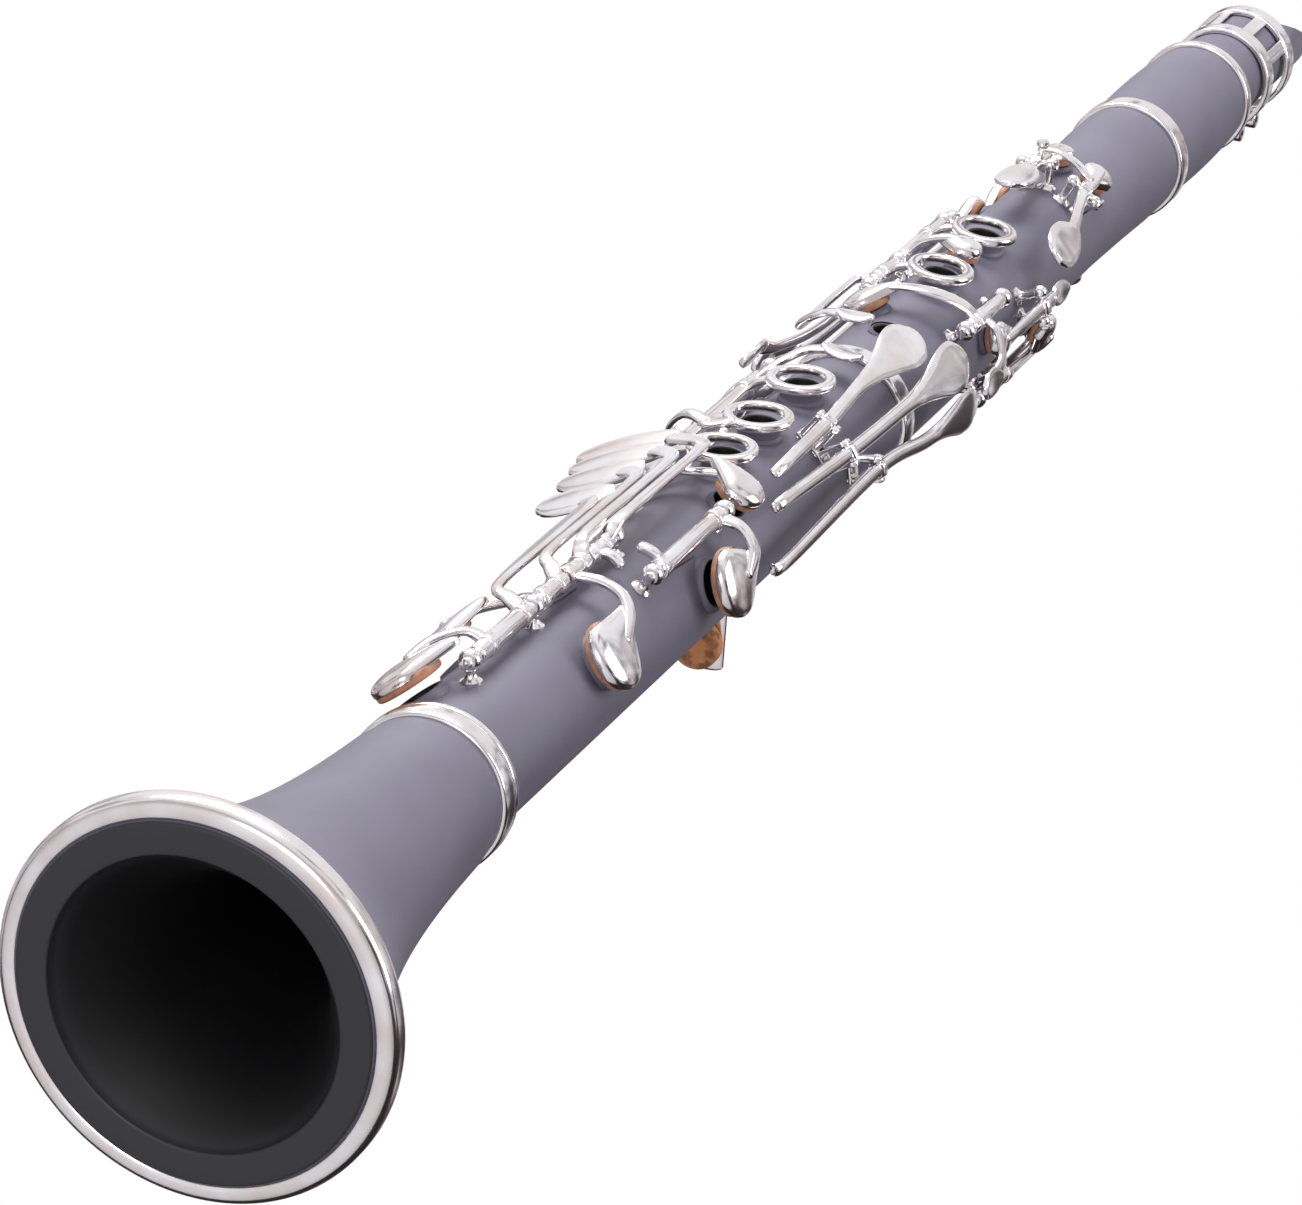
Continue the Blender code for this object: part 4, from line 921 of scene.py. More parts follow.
class CLARINET_OT_ligature(bpy.types.Operator):
    """Ligature: two bands, the strips that join them, and the two screws"""
    bl_idname = "clarinet.ligature"
    bl_label = "Ligature"

    def execute(self, context):
        first, last = foot_of("ligature"), top_of("ligature")
        shift = Matrix.Translation((0.0, 0.8, 0.0))
        inner = MOUTHPIECE_RADIUS + 0.75
        pieces = []
        for low_end, high_end in ((first, first + 5.5), (last - 5.5, last)):
            outline = [(inner, low_end)] + arc(inner + 0.75, low_end + 0.55, 0.55, -90.0, 0.0, 3)
            outline += [(inner + 1.0, (low_end + high_end) / 2.0)]
            outline += arc(inner + 0.75, high_end - 0.55, 0.55, 0.0, 90.0, 3) + [(inner, high_end)]
            pieces.append(lathe(outline, 96, shift))
        for angle in (-128.0, -62.0, -22.0, 22.0, 62.0, 128.0):
            stops = [stop(height, angle, inner + 0.5, 2.4 if abs(angle) > 100.0 else 1.8, 0.45)
                     for height in (first + 3.0, (first + last) / 2.0, last - 3.0)]
            pieces.append(bar(stops, 4, 12, 4.0))
            pieces[-1].data.transform(shift)
        heights = (first + 5.5, last - 5.5)
        lug_y = inner + 3.6
        for height in heights:
            for side in (-1.0, 1.0):
                along = side * 4.6
                place = moved(along, lug_y, height) @ Matrix.Rotation(math.pi / 2.0, 4, "Y")
                pieces.append(lathe(drum(2.5, 2.4, 0.5, 3), 28, place))
                pieces.append(block(moved(along, lug_y - 1.8, height), (1.4, 3.6, 4.6), 0.3))
        metal("fine_ligature", pieces, "body", ["ligature"])
        for name, height in zip(("ligature_screw_low", "ligature_screw_high"), heights):
            outline = [(0.0, -7.0), (0.9, -7.0), (1.1, -6.8), (1.1, 7.2), (2.0, 7.4), (1.6, 8.2)]
            outline += arc(2.3, 9.3, 0.7, -90.0, 0.0, 3) + arc(2.3, 11.4, 0.7, 0.0, 90.0, 3)
            outline += [(1.2, 12.1), (1.0, 11.8), (0.0, 11.8)]
            screw = lathe(outline, 24, moved(0.0, lug_y, height) @ Matrix.Rotation(-math.pi / 2.0, 4, "Y"))
            metal("fine_" + name, [screw], "body", [name])
        return {"FINISHED"}


# ---------------------------------------------------------------- keywork parts
def cup_lift(radius_out, opened):
    """Distance from the bore's axis to the underside of a cup."""
    return radius_out + SEAT + 0.3 + opened + PAD


def cup(pad, opened, point_turn, stretch=0.28):
    """Spun pad cup: a low dome on a short skirt, drawn out to a point where its arm joins."""
    height, angle, radius, body_radius = pad
    rise = 1.9
    outline = [(0.0, -0.5), (radius - 0.7, -0.5), (radius - 0.6, -1.1), (radius - 0.15, -1.1), (radius, -0.8),
               (radius, 0.2)]
    steps = 9
    for i in range(steps + 1):
        turn = i / steps * math.pi / 2.0
        outline.append((radius * math.cos(turn) * 0.985, 0.35 + rise * math.sin(turn) ** 1.1))
    outline[-1] = (0.0, outline[-1][1])
    shape = lathe(outline, 56)
    for vertex in shape.data.vertices:
        ahead = max(0.0, vertex.co.y) / radius
        vertex.co.y += radius * stretch * 2.4 * ahead ** 2.6
        vertex.co.x *= 1.0 - 0.55 * ahead ** 1.5
        vertex.co.z += 0.35 * ahead
    shape.data.transform(Matrix.Rotation(math.radians(point_turn), 4, "Z"))
    shape.data.transform(spot(height, angle, cup_lift(body_radius, opened) + 0.3))
    return shape


def pad_piece(name, pad, body, opened=0.0, nodes=()):
    """Skin pad with a rounded edge, seated in its cup."""
    height, angle, radius, body_radius = pad
    top = cup_lift(body_radius, opened)
    half = PAD / 2.0
    skin = lathe(drum(radius - 0.3, half, 0.7, 4), SMALL_STEPS, spot(height, angle, top - half))
    finish(name, [skin], body, "pad_skin_tan", nodes)


def ring_piece(height, angle, body_radius):
    """Finger ring: a flat-sided hoop with rolled edges round its chimney."""
    hole = HOLE_RADIUS + 1.65
    wire = sizes().ring_wire
    tall = 1.0
    outline = [(hole, -tall + 0.3)] + arc(hole + 0.45, -tall + 0.45, 0.45, 200.0, 270.0, 3)
    outline += arc(hole + 2.0 * wire - 0.5, -tall + 0.5, 0.5, -90.0, 0.0, 4)
    outline += arc(hole + 2.0 * wire - 0.9, tall - 0.9, 0.9, 0.0, 90.0, 5)
    outline += arc(hole + 0.5, tall - 0.5, 0.5, 90.0, 170.0, 4)
    return lathe(outline, 64, spot(height, angle - RING_LEAN, body_radius + RING_LIFT))


def post(height, angle, body_radius, lift=TUBE_LIFT, ball=BALL):
    """Turned post: a flange, a waisted neck and a ball that carries the rod."""
    outline = [(0.0, -0.6), (2.3, -0.6), (2.3, 0.3), (2.0, 0.6), (1.5, 0.9), (1.15, 1.5), (1.1, 2.0)]
    ball_foot = math.degrees(math.asin(1.2 / ball))
    outline += arc(0.0, lift, ball, -90.0 + ball_foot, 90.0, 12)
    outline[-1] = (0.0, lift + ball)
    return lathe(outline, 32, spot(height, angle, body_radius))


def tube(angle, body_radius, first, last):
    """Key tube on an upright rod, with softened ends."""
    radius, soft = 2.0, 0.35
    outline = [(0.95, first)] + arc(radius - soft, first + soft, soft, -90.0, 0.0, 3)
    outline += arc(radius - soft, last - soft, soft, 0.0, 90.0, 3) + [(0.95, last)]
    return lathe(outline, 28, upright(0.0, angle, body_radius + TUBE_LIFT))


def collar(angle, body_radius, height):
    """Thickened collar on a tube where an arm is soldered."""
    return lathe(drum(2.35, 1.6, 0.4, 3, 1.9), 28, upright(height, angle, body_radius + TUBE_LIFT))


def sleeve(height_of, angle, body_radius, span, *collars):
    """Tube between two height shares, with its collars."""
    first, last = (height_of(share) for share in span)
    collared = [collar(angle, body_radius, height_of(share)) for share in collars]
    return [tube(angle, body_radius, first, last)] + collared


def pin(height, angle, centre, half):
    """Cross screw with a slotted, domed head on one side."""
    outline = [(0.0, -half), (0.95, -half), (0.95, half), (1.75, half), (1.75, half + 0.5), (1.3, half + 0.95),
               (0.0, half + 1.05)]
    place = sideways(height, angle, centre)
    slot = block(place @ Matrix.Translation((0.0, 0.0, half + 1.05)), (0.5, 5.0, 0.9), 0.05)
    return cut(lathe(outline, 24, place), slot)


def boss(height, angle, centre):
    """Round boss of a rocking key, on its cross screw."""
    return lathe(drum(2.0, 1.5, 0.3, 3, 0.95), 28, sideways(height, angle, centre))


def rod_line(name, angle, body_radius, heights):
    """Posts, their steel rod and the slotted screw heads at its ends."""
    foot, top = heights[0] - 2.6, heights[-1] + 2.6
    centre = body_radius + TUBE_LIFT
    pieces = [lathe([(0.0, foot), (0.9, foot), (0.9, top), (0.0, top)], 20, upright(0.0, angle, centre))]
    for height, side in ((heights[0], -1.0), (heights[-1], 1.0)):
        outline = [(0.0, 0.0), (1.35, 0.0), (1.35, 0.7), (1.0, 1.1), (0.0, 1.2)]
        turn = Matrix.Rotation(0.0 if side > 0.0 else math.pi, 4, "X")
        place = upright(height + side * 1.9, angle, centre) @ turn
        head = lathe(outline, 24, place)
        pieces.append(cut(head, block(place @ Matrix.Translation((0.0, 0.0, 1.2)), (0.45, 4.0, 0.8), 0.05)))
    pieces += [post(height, angle, body_radius) for height in heights]
    metal("fine_" + name, pieces, "body", [name])


def spring(name, angle, body_radius, first, last, side):
    """Needle spring from a post along the tube."""
    shift = side * 9.0
    centre = body_radius + TUBE_LIFT
    stops = [stop(first, angle, centre - 1.6, 0.28, 0.28),
             stop((first + last) / 2.0, angle + shift * 0.6, centre - 1.9, 0.26, 0.26),
             stop(last, angle + shift, centre - 1.4, 0.2, 0.2)]
    finish(name, [bar(stops, 5, 8, 2.0)], "body", "blued_spring_steel")


def leaf(height, angle, radius, half_width, half_length, lean=0.0, hollow=0.35):
    """Touch plate: an oval leaf, slightly dished, its long axis turned by lean degrees from the bore."""
    thick = sizes().touch_thickness
    place = spot(height, angle, radius) @ Matrix.Rotation(math.radians(lean), 4, "Z")
    up = Vector(place.col[2][:3])
    stops = []
    for share in (-0.94, -0.6, -0.2, 0.2, 0.6, 0.94):
        width = half_width * math.sqrt(max(0.05, 1.0 - abs(share) ** 2.2))
        dish = hollow * share * share
        stops.append((place @ Vector((0.0, half_length * share, dish - thick)), up, width, thick))
    return bar(stops, 5, 16, 3.0, cap=half_length * 0.06)


# ---------------------------------------------------------------- lower joint keys
LITTLE_FINGER_LINE = -6.0
F_SHARP_LINE = 33.0
LOWER_RING_LINE = -44.0
RIGHT_SLIVER_LINE = -66.0
UPPER_RING_LINE = -40.0
C_SHARP_LINE = 53.0
THUMB_LINE = 142.0
RING_ARM_END = 20.5
RING_LEAN = 1.0
TOUCH_LEAN = -22.0
TOUCH_ROLL = 24.0
SLIVER_LIFT = 1.6
STRAP_WIDTH = 1.25


def little_finger(share, stem_angle, stem_share, length, broad=STRAP_WIDTH):
    """Strap up the front and a long leaf that stands off to the player's right."""
    over = LOWER_RADIUS + 8.6
    free_side = stem_angle - (broad - STRAP_WIDTH) * 2.4
    foot, top = low(stem_share), low(share)
    stem = bar([stop(foot, LITTLE_FINGER_LINE, LOWER_RADIUS + TUBE_LIFT + 0.6, 1.8, 1.0),
                stop(foot + 2.5, (stem_angle + LITTLE_FINGER_LINE) / 2.0, over - 1.6, 1.7, 0.9),
                stop(foot + 7.0, stem_angle, over, STRAP_WIDTH, 0.8),
                stop((foot + top) / 2.0, free_side, over, broad, 0.8),
                stop(top - 9.0, free_side, over, broad, 0.8),
                stop(top - 3.5, stem_angle - 3.0, over + 0.2, 2.0, 0.8),
                stop(top, min(stem_angle - 12.0, TOUCH_LEAN - 2.0), over + 0.4, 2.6, 0.8)], 6, 14, 3.0)
    place = spot(top, TOUCH_LEAN, over + 0.9) @ Matrix.Rotation(math.radians(96.0), 4, "Z")
    place = place @ Matrix.Rotation(math.radians(-TOUCH_ROLL), 4, "Y")
    up = Vector(place.col[2][:3])
    stops = []
    for share_out, width in ((-0.01, 2.2), (0.15, 3.0), (0.45, 3.6), (0.75, 3.3), (0.93, 2.3), (1.0, 1.2)):
        lift = -0.8 * share_out ** 2
        stops.append((place @ Vector((0.0, length * share_out, lift - 0.8)), up, width, 0.8))
    return [stem, bar(stops, 6, 16, 3.2, cap=0.7)]


class CLARINET_OT_little_finger_keys(bpy.types.Operator):
    """Four right little finger keys on their shared rod"""
    bl_idname = "clarinet.little_finger_keys"
    bl_label = "Right little finger keys"

    def execute(self, context):
        body = LOWER_RADIUS
        line = body + TUBE_LIFT
        rod_line("little_finger_rod", LITTLE_FINGER_LINE, body, [low(s) for s in (0.072, 0.207, 0.390)])
        angle = LITTLE_FINGER_LINE
        metal("fine_low_e_key", [
            *sleeve(low, angle, body, (0.084, 0.195), 0.110, 0.184),
            cup(LOW_E, OPEN, -62.0),
            strap(low, line, [
                (0.110, angle, 0.6, 1.8, 1.0), (0.108, -18.0, 3.0, 1.6, 0.9), (0.085, -30.0, 4.0, 1.6, 0.9),
                (0.055, LOW_E[1] + 3.0, 3.6, 1.2, 0.8)])]
            + little_finger(0.455, -27.0, 0.184, 17.0, 2.6), "low_e_key", ["low_e_key"])
        metal("fine_low_f_key", [
            *sleeve(low, angle, body, (0.219, 0.272), 0.227, 0.262),
            cup(LOW_F, OPEN, -40.0),
            strap(low, line, [
                (0.227, angle, 0.0, 1.6, 1.0), (0.229, -20.0, -0.2, 1.5, 0.9),
                (0.228, -34.0, -0.2, 1.5, 0.9), (0.205, -43.0, 1.8, 1.5, 0.9),
                (0.165, LOW_F[1] + 3.0, 3.5, 1.1, 0.8)])]
            + little_finger(0.525, -18.5, 0.262, 19.0), "low_f_key", ["low_f_key"])
        metal("fine_a_flat_key", [
            *sleeve(low, angle, body, (0.278, 0.322), 0.285, 0.314),
            cup(A_FLAT, 0.0, 28.0, 0.34),
            strap(low, line, [
                (0.285, angle, 0.0, 1.5, 1.0), (0.289, 12.0, 0.4, 1.4, 1.0), (0.284, 28.0, 1.4, 1.5, 1.0),
                (0.270, 40.0, 1.4, 1.6, 1.0), (0.240, 51.0, 1.0, 1.0, 0.8)])]
            + little_finger(0.574, -10.0, 0.314, 21.0), "a_flat_key", ["a_flat_key"])
        metal("fine_f_sharp_touch", [
            *sleeve(low, angle, body, (0.328, 0.378), 0.345, 0.368),
            strap(low, line, [
                (0.345, angle, 0.0, 1.6, 1.1), (0.346, 4.0, 0.2, 1.6, 1.1), (0.345, 12.0, -1.0, 1.6, 1.1)],
                *ARM_FORM)]
            + little_finger(0.613, -1.5, 0.368, 23.0), "f_sharp_touch", ["f_sharp_touch"])
        pad_piece("low_e_pad_skin", LOW_E, "low_e_key", OPEN, ["low_e_pad"])
        pad_piece("low_f_pad_skin", LOW_F_SKIN, "low_f_key", OPEN + 0.7)
        pad_piece("a_flat_pad_skin", A_FLAT, "a_flat_key", 0.0, ["a_flat_pad"])
        return {"FINISHED"}


class CLARINET_OT_lower_keys(bpy.types.Operator):
    """F sharp key, right hand rings and right sliver key"""
    bl_idname = "clarinet.lower_keys"
    bl_label = "Lower joint keys"

    def execute(self, context):
        body = LOWER_RADIUS
        line = body + TUBE_LIFT
        angle = F_SHARP_LINE
        rod_line("f_sharp_rod", angle, body, [low(s) for s in (0.355, 0.528)])
        metal("fine_low_f_sharp_key", [
            *sleeve(low, angle, body, (0.367, 0.516), 0.505, 0.374),
            cup(LOW_F_SHARP, OPEN, 12.0, 0.3),
            strap(low, line, [
                (0.505, angle, 0.4, 1.9, 1.0), (0.510, 46.0, 2.8, 1.9, 0.9), (0.503, 60.0, 3.8, 2.0, 0.9),
                (0.478, 69.0, 3.6, 1.2, 0.8)]),
            strap(low, line, [
                (0.374, angle, 0.0, 1.6, 1.1), (0.375, 25.0, 1.4, 1.6, 1.1), (0.374, 17.0, 1.4, 1.6, 1.1)],
                *ARM_FORM)],
            "low_f_sharp_key", ["low_f_sharp_key"])
        pad_piece("low_f_sharp_pad_skin", LOW_F_SHARP, "low_f_sharp_key", OPEN, ["low_f_sharp_pad"])
        self.rings(body, line)
        self.sliver(body, line)
        return {"FINISHED"}

    def rings(self, body, line):
        """Three finger rings on one tube, with their vent cup and the bridge to the upper joint."""
        angle = LOWER_RING_LINE
        rod_line("lower_ring_rod", angle, body, [low(s) for s in (0.535, 0.915)])
        pieces = [*sleeve(low, angle, body, (0.548, 0.883)),
                  cup(RING_CUP, OPEN, 80.0),
                  strap(low, line, [
                      (0.568, angle, 0.0, 1.8, 1.0), (0.568, -20.0, 0.3, 1.5, 0.9),
                      (0.568, 0.0, 0.3, 1.5, 0.9), (0.570, 16.0, 1.8, 1.5, 0.9),
                      (0.571, 27.0, 3.0, 1.1, 0.8)]),
                  strap(low, line, [
                      (0.873, angle, 0.3, 1.9, 1.0), (0.892, -30.0, 0.9, 1.7, 0.9),
                      (0.922, -18.0, 0.9, 1.9, 0.9), (0.928, -4.0, 1.0, 2.3, 0.8)]),
                  leaf(low(0.928), 7.0, line + 1.6, 3.0, 5.0, 90.0)]
        for share in RIGHT_HAND_HOLES:
            pieces.append(ring_piece(low(share), 0.0, body))
            pieces.append(collar(angle, body, low(share)))
            pieces.append(strap(low, line, [
                (share, angle, 0.0, 2.2, 1.0), (share, -34.0, 0.3, 1.7, 0.9),
                (share, -RING_ARM_END - 4.0, 0.1, 1.7, 0.8), (share, -RING_ARM_END, -0.1, 2.6, 0.8)]))
        metal("fine_lower_ring_key", pieces, "lower_ring_key", ["lower_ring_key"])
        pad_piece("ring_pad_skin", RING_CUP, "lower_ring_key", OPEN)

    def sliver(self, body, line):
        """Side key played by the right ring finger."""
        angle = RIGHT_SLIVER_LINE
        rod_line("right_sliver_rod", angle, body, [low(s) for s in (0.690, 0.800)])
        metal("fine_right_sliver_key", [
            *sleeve(low, angle, body, (0.703, 0.787), 0.728, 0.775),
            cup(RIGHT_SLIVER, SLIVER_LIFT, 170.0),
            strap(low, line, [
                (0.775, angle, 0.0, 1.6, 1.0), (0.779, -76.0, 0.8, 1.4, 0.9), (0.815, -79.0, 2.4, 1.4, 0.9),
                (0.868, -73.0, 2.6, 1.0, 0.8)]),
            strap(low, line, [
                (0.728, angle, 0.0, 1.6, 1.0), (0.722, -57.0, 4.4, 1.4, 0.9), (0.702, -37.0, 4.8, 1.4, 0.9),
                (0.689, -24.0, 2.4, 1.7, 0.8)]),
            leaf(low(0.687), -17.0, line + 2.4, 2.0, 4.4, 90.0)], "right_sliver_key", ["right_sliver_key"])
        pad_piece("right_sliver_pad_skin", RIGHT_SLIVER, "right_sliver_key", SLIVER_LIFT)


class CLARINET_OT_left_levers(bpy.types.Operator):
    """Three left little finger levers with their saddles"""
    bl_idname = "clarinet.left_levers"
    bl_label = "Left little finger levers"

    def execute(self, context):
        centre = LOWER_RADIUS + LEVER_LIFT
        levers = (("left_f_sharp_lever", 36.0, 0.775, (0.640, 37.0), (0.972, 33.0), 10.5, 6.0),
                  ("left_e_lever", 58.0, 0.775, (0.600, 53.0), (1.030, 60.0), 10.5, 6.0),
                  ("left_f_lever", 80.0, 0.830, (0.560, 84.0), (1.045, 88.0), 9.0, 5.2))
        for name, angle, share, end, touch, reach, width in levers:
            top = low(touch[0])
            stops = [stop(low(end[0]), end[1], centre - 1.2, 1.2, 0.8),
                     stop(low(end[0]) + 6.0, end[1], centre, 1.5, 1.2),
                     stop(low(share), angle, centre, 1.7, 1.5),
                     stop(top - reach * 2.4, touch[1], centre + 0.8, 1.7, 1.4),
                     stop(top - reach * 1.5, touch[1], centre + 1.6, width * 0.42, 1.2),
                     stop(top - reach * 0.8, touch[1], centre + 2.1, width * 0.66, 1.0),
                     stop(top - reach * 0.1, touch[1], centre + 2.6, width * 0.95, 0.8),
                     stop(top + reach * 0.45, touch[1], centre + 2.8, width * 0.92, 0.8),
                     stop(top + reach * 0.85, touch[1], centre + 2.6, width * 0.52, 0.8),
                     stop(top + reach, touch[1], centre + 2.4, width * 0.2, 0.6)]
            metal("fine_" + name, [bar(stops, 8, 16, 2.3), boss(low(share), angle, centre)], name, [name])
        saddle("left_lever_saddle", ((0.775, 36.0), (0.775, 58.0)), low, LOWER_RADIUS, LEVER_LIFT)
        saddle("left_f_saddle", ((0.830, 80.0),), low, LOWER_RADIUS, LEVER_LIFT)
        return {"FINISHED"}


def ball_posts(name, height, angle, body_radius):
    """Two small ball posts and the cross screw between them."""
    centre = body_radius + ROCKER_LIFT
    reach = math.degrees(3.6 / centre)
    pieces = [post(height, angle + side * reach, body_radius, ROCKER_LIFT, 1.7) for side in (-1.0, 1.0)]
    metal("fine_" + name, pieces + [pin(height, angle, centre, 4.6)], "body", [name])


def saddle(name, pivots, height_of, body_radius, lift, boss_width=3.0):
    """Cheeks, cross screws and foot plates that carry rocking keys."""
    pieces = []
    half = boss_width / 2.0 + 0.3
    for share, angle in pivots:
        height = height_of(share)
        end = half + 1.3
        pieces.append(lathe([(0.0, -end), (0.9, -end), (0.9, end), (0.0, end)], 20,
                            sideways(height, angle, body_radius + lift)))
        for side in (-1.0, 1.0):
            place = spot(height, angle, body_radius) @ Matrix.Translation((side * (half + 0.6), 0.0, 0.0))
            stops = [(place @ Vector((0.0, 0.0, rise)), Vector(place.col[0][:3]), width, 0.6)
                     for rise, width in ((-0.4, 2.4), (1.0, 1.9), (lift - 1.4, 1.6), (lift, 1.8),
                                         (lift + 0.9, 1.2))]
            pieces.append(bar(stops, 5, 16, 3.4, cap=0.4))
        pieces.append(block(spot(height, angle, body_radius + 0.35), (2.0 * half + 3.0, 4.8, 0.9), 0.4))
    if len(pivots) > 1:
        pieces.append(arm([(height_of(share), angle, body_radius + 0.5) for share, angle in pivots], 2.0, 0.5))
    metal("fine_" + name, pieces, "body", [name])


# ---------------------------------------------------------------- upper joint keys
class CLARINET_OT_upper_rings(bpy.types.Operator):
    """Left hand rings, bridge ring, C sharp key and thumb ring"""
    bl_idname = "clarinet.upper_rings"
    bl_label = "Upper joint ring keys"

    def execute(self, context):
        body = UPPER_RADIUS
        line = body + TUBE_LIFT
        self.ring_keys(body, line)
        self.c_sharp(body, line)
        self.thumb(body, line)
        return {"FINISHED"}

    def ring_arm(self, share, body, line):
        angle = UPPER_RING_LINE
        end = LEFT_RING_ANGLE - RING_ARM_END
        return [collar(angle, body, high(share)), ring_piece(high(share), LEFT_RING_ANGLE, body),
                strap(high, line, [
                    (share, angle, 0.0, 2.2, 1.0), (share, -28.0, 0.3, 1.7, 0.9),
                    (share, end - 4.0, 0.1, 1.7, 0.8), (share, end, -0.1, 2.6, 0.8)])]

    def ring_keys(self, body, line):
        angle = UPPER_RING_LINE
        rod_line("upper_ring_rod", angle, body, [high(s) for s in (0.205, 0.305, 0.465)])
        metal("fine_upper_ring_key", [
            *sleeve(high, angle, body, (0.318, 0.452)),
            cup(UPPER_RING_CUP, 1.2, 85.0),
            strap(high, line, [
                (0.331, angle, 0.0, 1.7, 1.0), (0.331, -24.0, 1.6, 1.4, 0.9), (0.331, -6.0, 2.2, 1.4, 0.9),
                (0.331, 4.0, 2.0, 1.0, 0.7)])]
            + self.ring_arm(LEFT_HAND_HOLES[0], body, line), "upper_ring_key", ["upper_ring_key"])
        pad_piece("upper_ring_pad_skin", UPPER_RING_CUP, "upper_ring_key", 1.2)
        metal("fine_middle_ring_key", [
            *sleeve(high, angle, body, (0.218, 0.292), 0.238),
            strap(high, line, [
                (0.238, angle, 0.0, 1.7, 1.0), (0.234, -51.0, 2.8, 1.6, 0.9), (0.200, -54.0, 3.4, 1.5, 0.9),
                (0.070, -54.0, 3.4, 1.5, 0.9), (0.030, -42.0, 3.9, 1.5, 0.9), (0.006, -22.0, 4.5, 1.7, 0.8),
                (-0.004, -8.0, 4.6, 2.2, 0.8)]),
            leaf(high(-0.006), -1.0, line + 5.2, 2.8, 4.6, 90.0)]
            + self.ring_arm(LEFT_HAND_HOLES[1], body, line),
            "middle_ring_key", ["middle_ring_key"])

    def c_sharp(self, body, line):
        angle = C_SHARP_LINE
        rod_line("c_sharp_rod", angle, body, [high(s) for s in (0.170, 0.296)])
        metal("fine_c_sharp_key", [
            *sleeve(high, angle, body, (0.183, 0.283), 0.205, 0.218),
            cup(C_SHARP, 0.0, -80.0),
            strap(high, line, [
                (0.205, angle, 0.3, 2.0, 0.9), (0.195, 40.0, 1.1, 2.2, 0.7), (0.175, 22.0, 1.2, 2.2, 0.7),
                (0.160, 2.0, 1.1, 2.0, 0.7), (0.153, -16.0, 1.1, 1.6, 0.7), (0.152, -26.0, 1.0, 1.1, 0.7)]),
            strap(high, line, [
                (0.218, angle, 0.4, 1.7, 0.9), (0.210, 64.0, 3.6, 1.6, 0.8), (0.190, 78.0, 5.0, 1.8, 0.8),
                (0.168, 84.0, 5.3, 2.6, 0.8)]),
            leaf(high(0.147), 86.0, line + 6.0, 3.6, 5.8)], "c_sharp_key", ["c_sharp_key"])
        pad_piece("c_sharp_pad_skin", C_SHARP, "c_sharp_key")

    def thumb(self, body, line):
        angle = THUMB_LINE
        rod_line("thumb_rod", angle, body, [high(s) for s in (0.290, 0.500)])
        end = 180.0 - RING_ARM_END
        metal("fine_thumb_ring_key", [
            *sleeve(high, angle, body, (0.303, 0.487), THUMB_HOLE),
            ring_piece(high(THUMB_HOLE), 180.0, body),
            strap(high, line, [
                (THUMB_HOLE, angle, 0.0, 2.2, 1.0), (THUMB_HOLE, end - 8.0, 0.2, 1.7, 0.9),
                (THUMB_HOLE, end, -0.1, 2.6, 0.8)]),
            cup(THUMB_CUP, 0.0, -80.0),
            strap(high, line, [
                (0.470, angle, 0.0, 1.4, 1.1), (0.466, 130.0, 0.8, 1.4, 1.1), (0.458, 117.0, 1.2, 1.4, 1.1)],
                *ARM_FORM)],
            "thumb_ring_key", ["thumb_ring_key"])
        pad_piece("thumb_pad_skin", THUMB_CUP, "thumb_ring_key")


def rocker(name, pivot, angle, pad, stops, touch, point_turn):
    """Key that rocks on a cross screw: boss, cup, arm and touch."""
    centre = UPPER_RADIUS + ROCKER_LIFT
    metal("fine_" + name, [boss(pivot, angle, centre), cup(pad, 0.0, point_turn),
                           strap(high, centre, stops, 7, 14, 2.6), touch], name, [name])
    pad_piece(name.replace("_key", "") + "_pad_skin", pad, name)


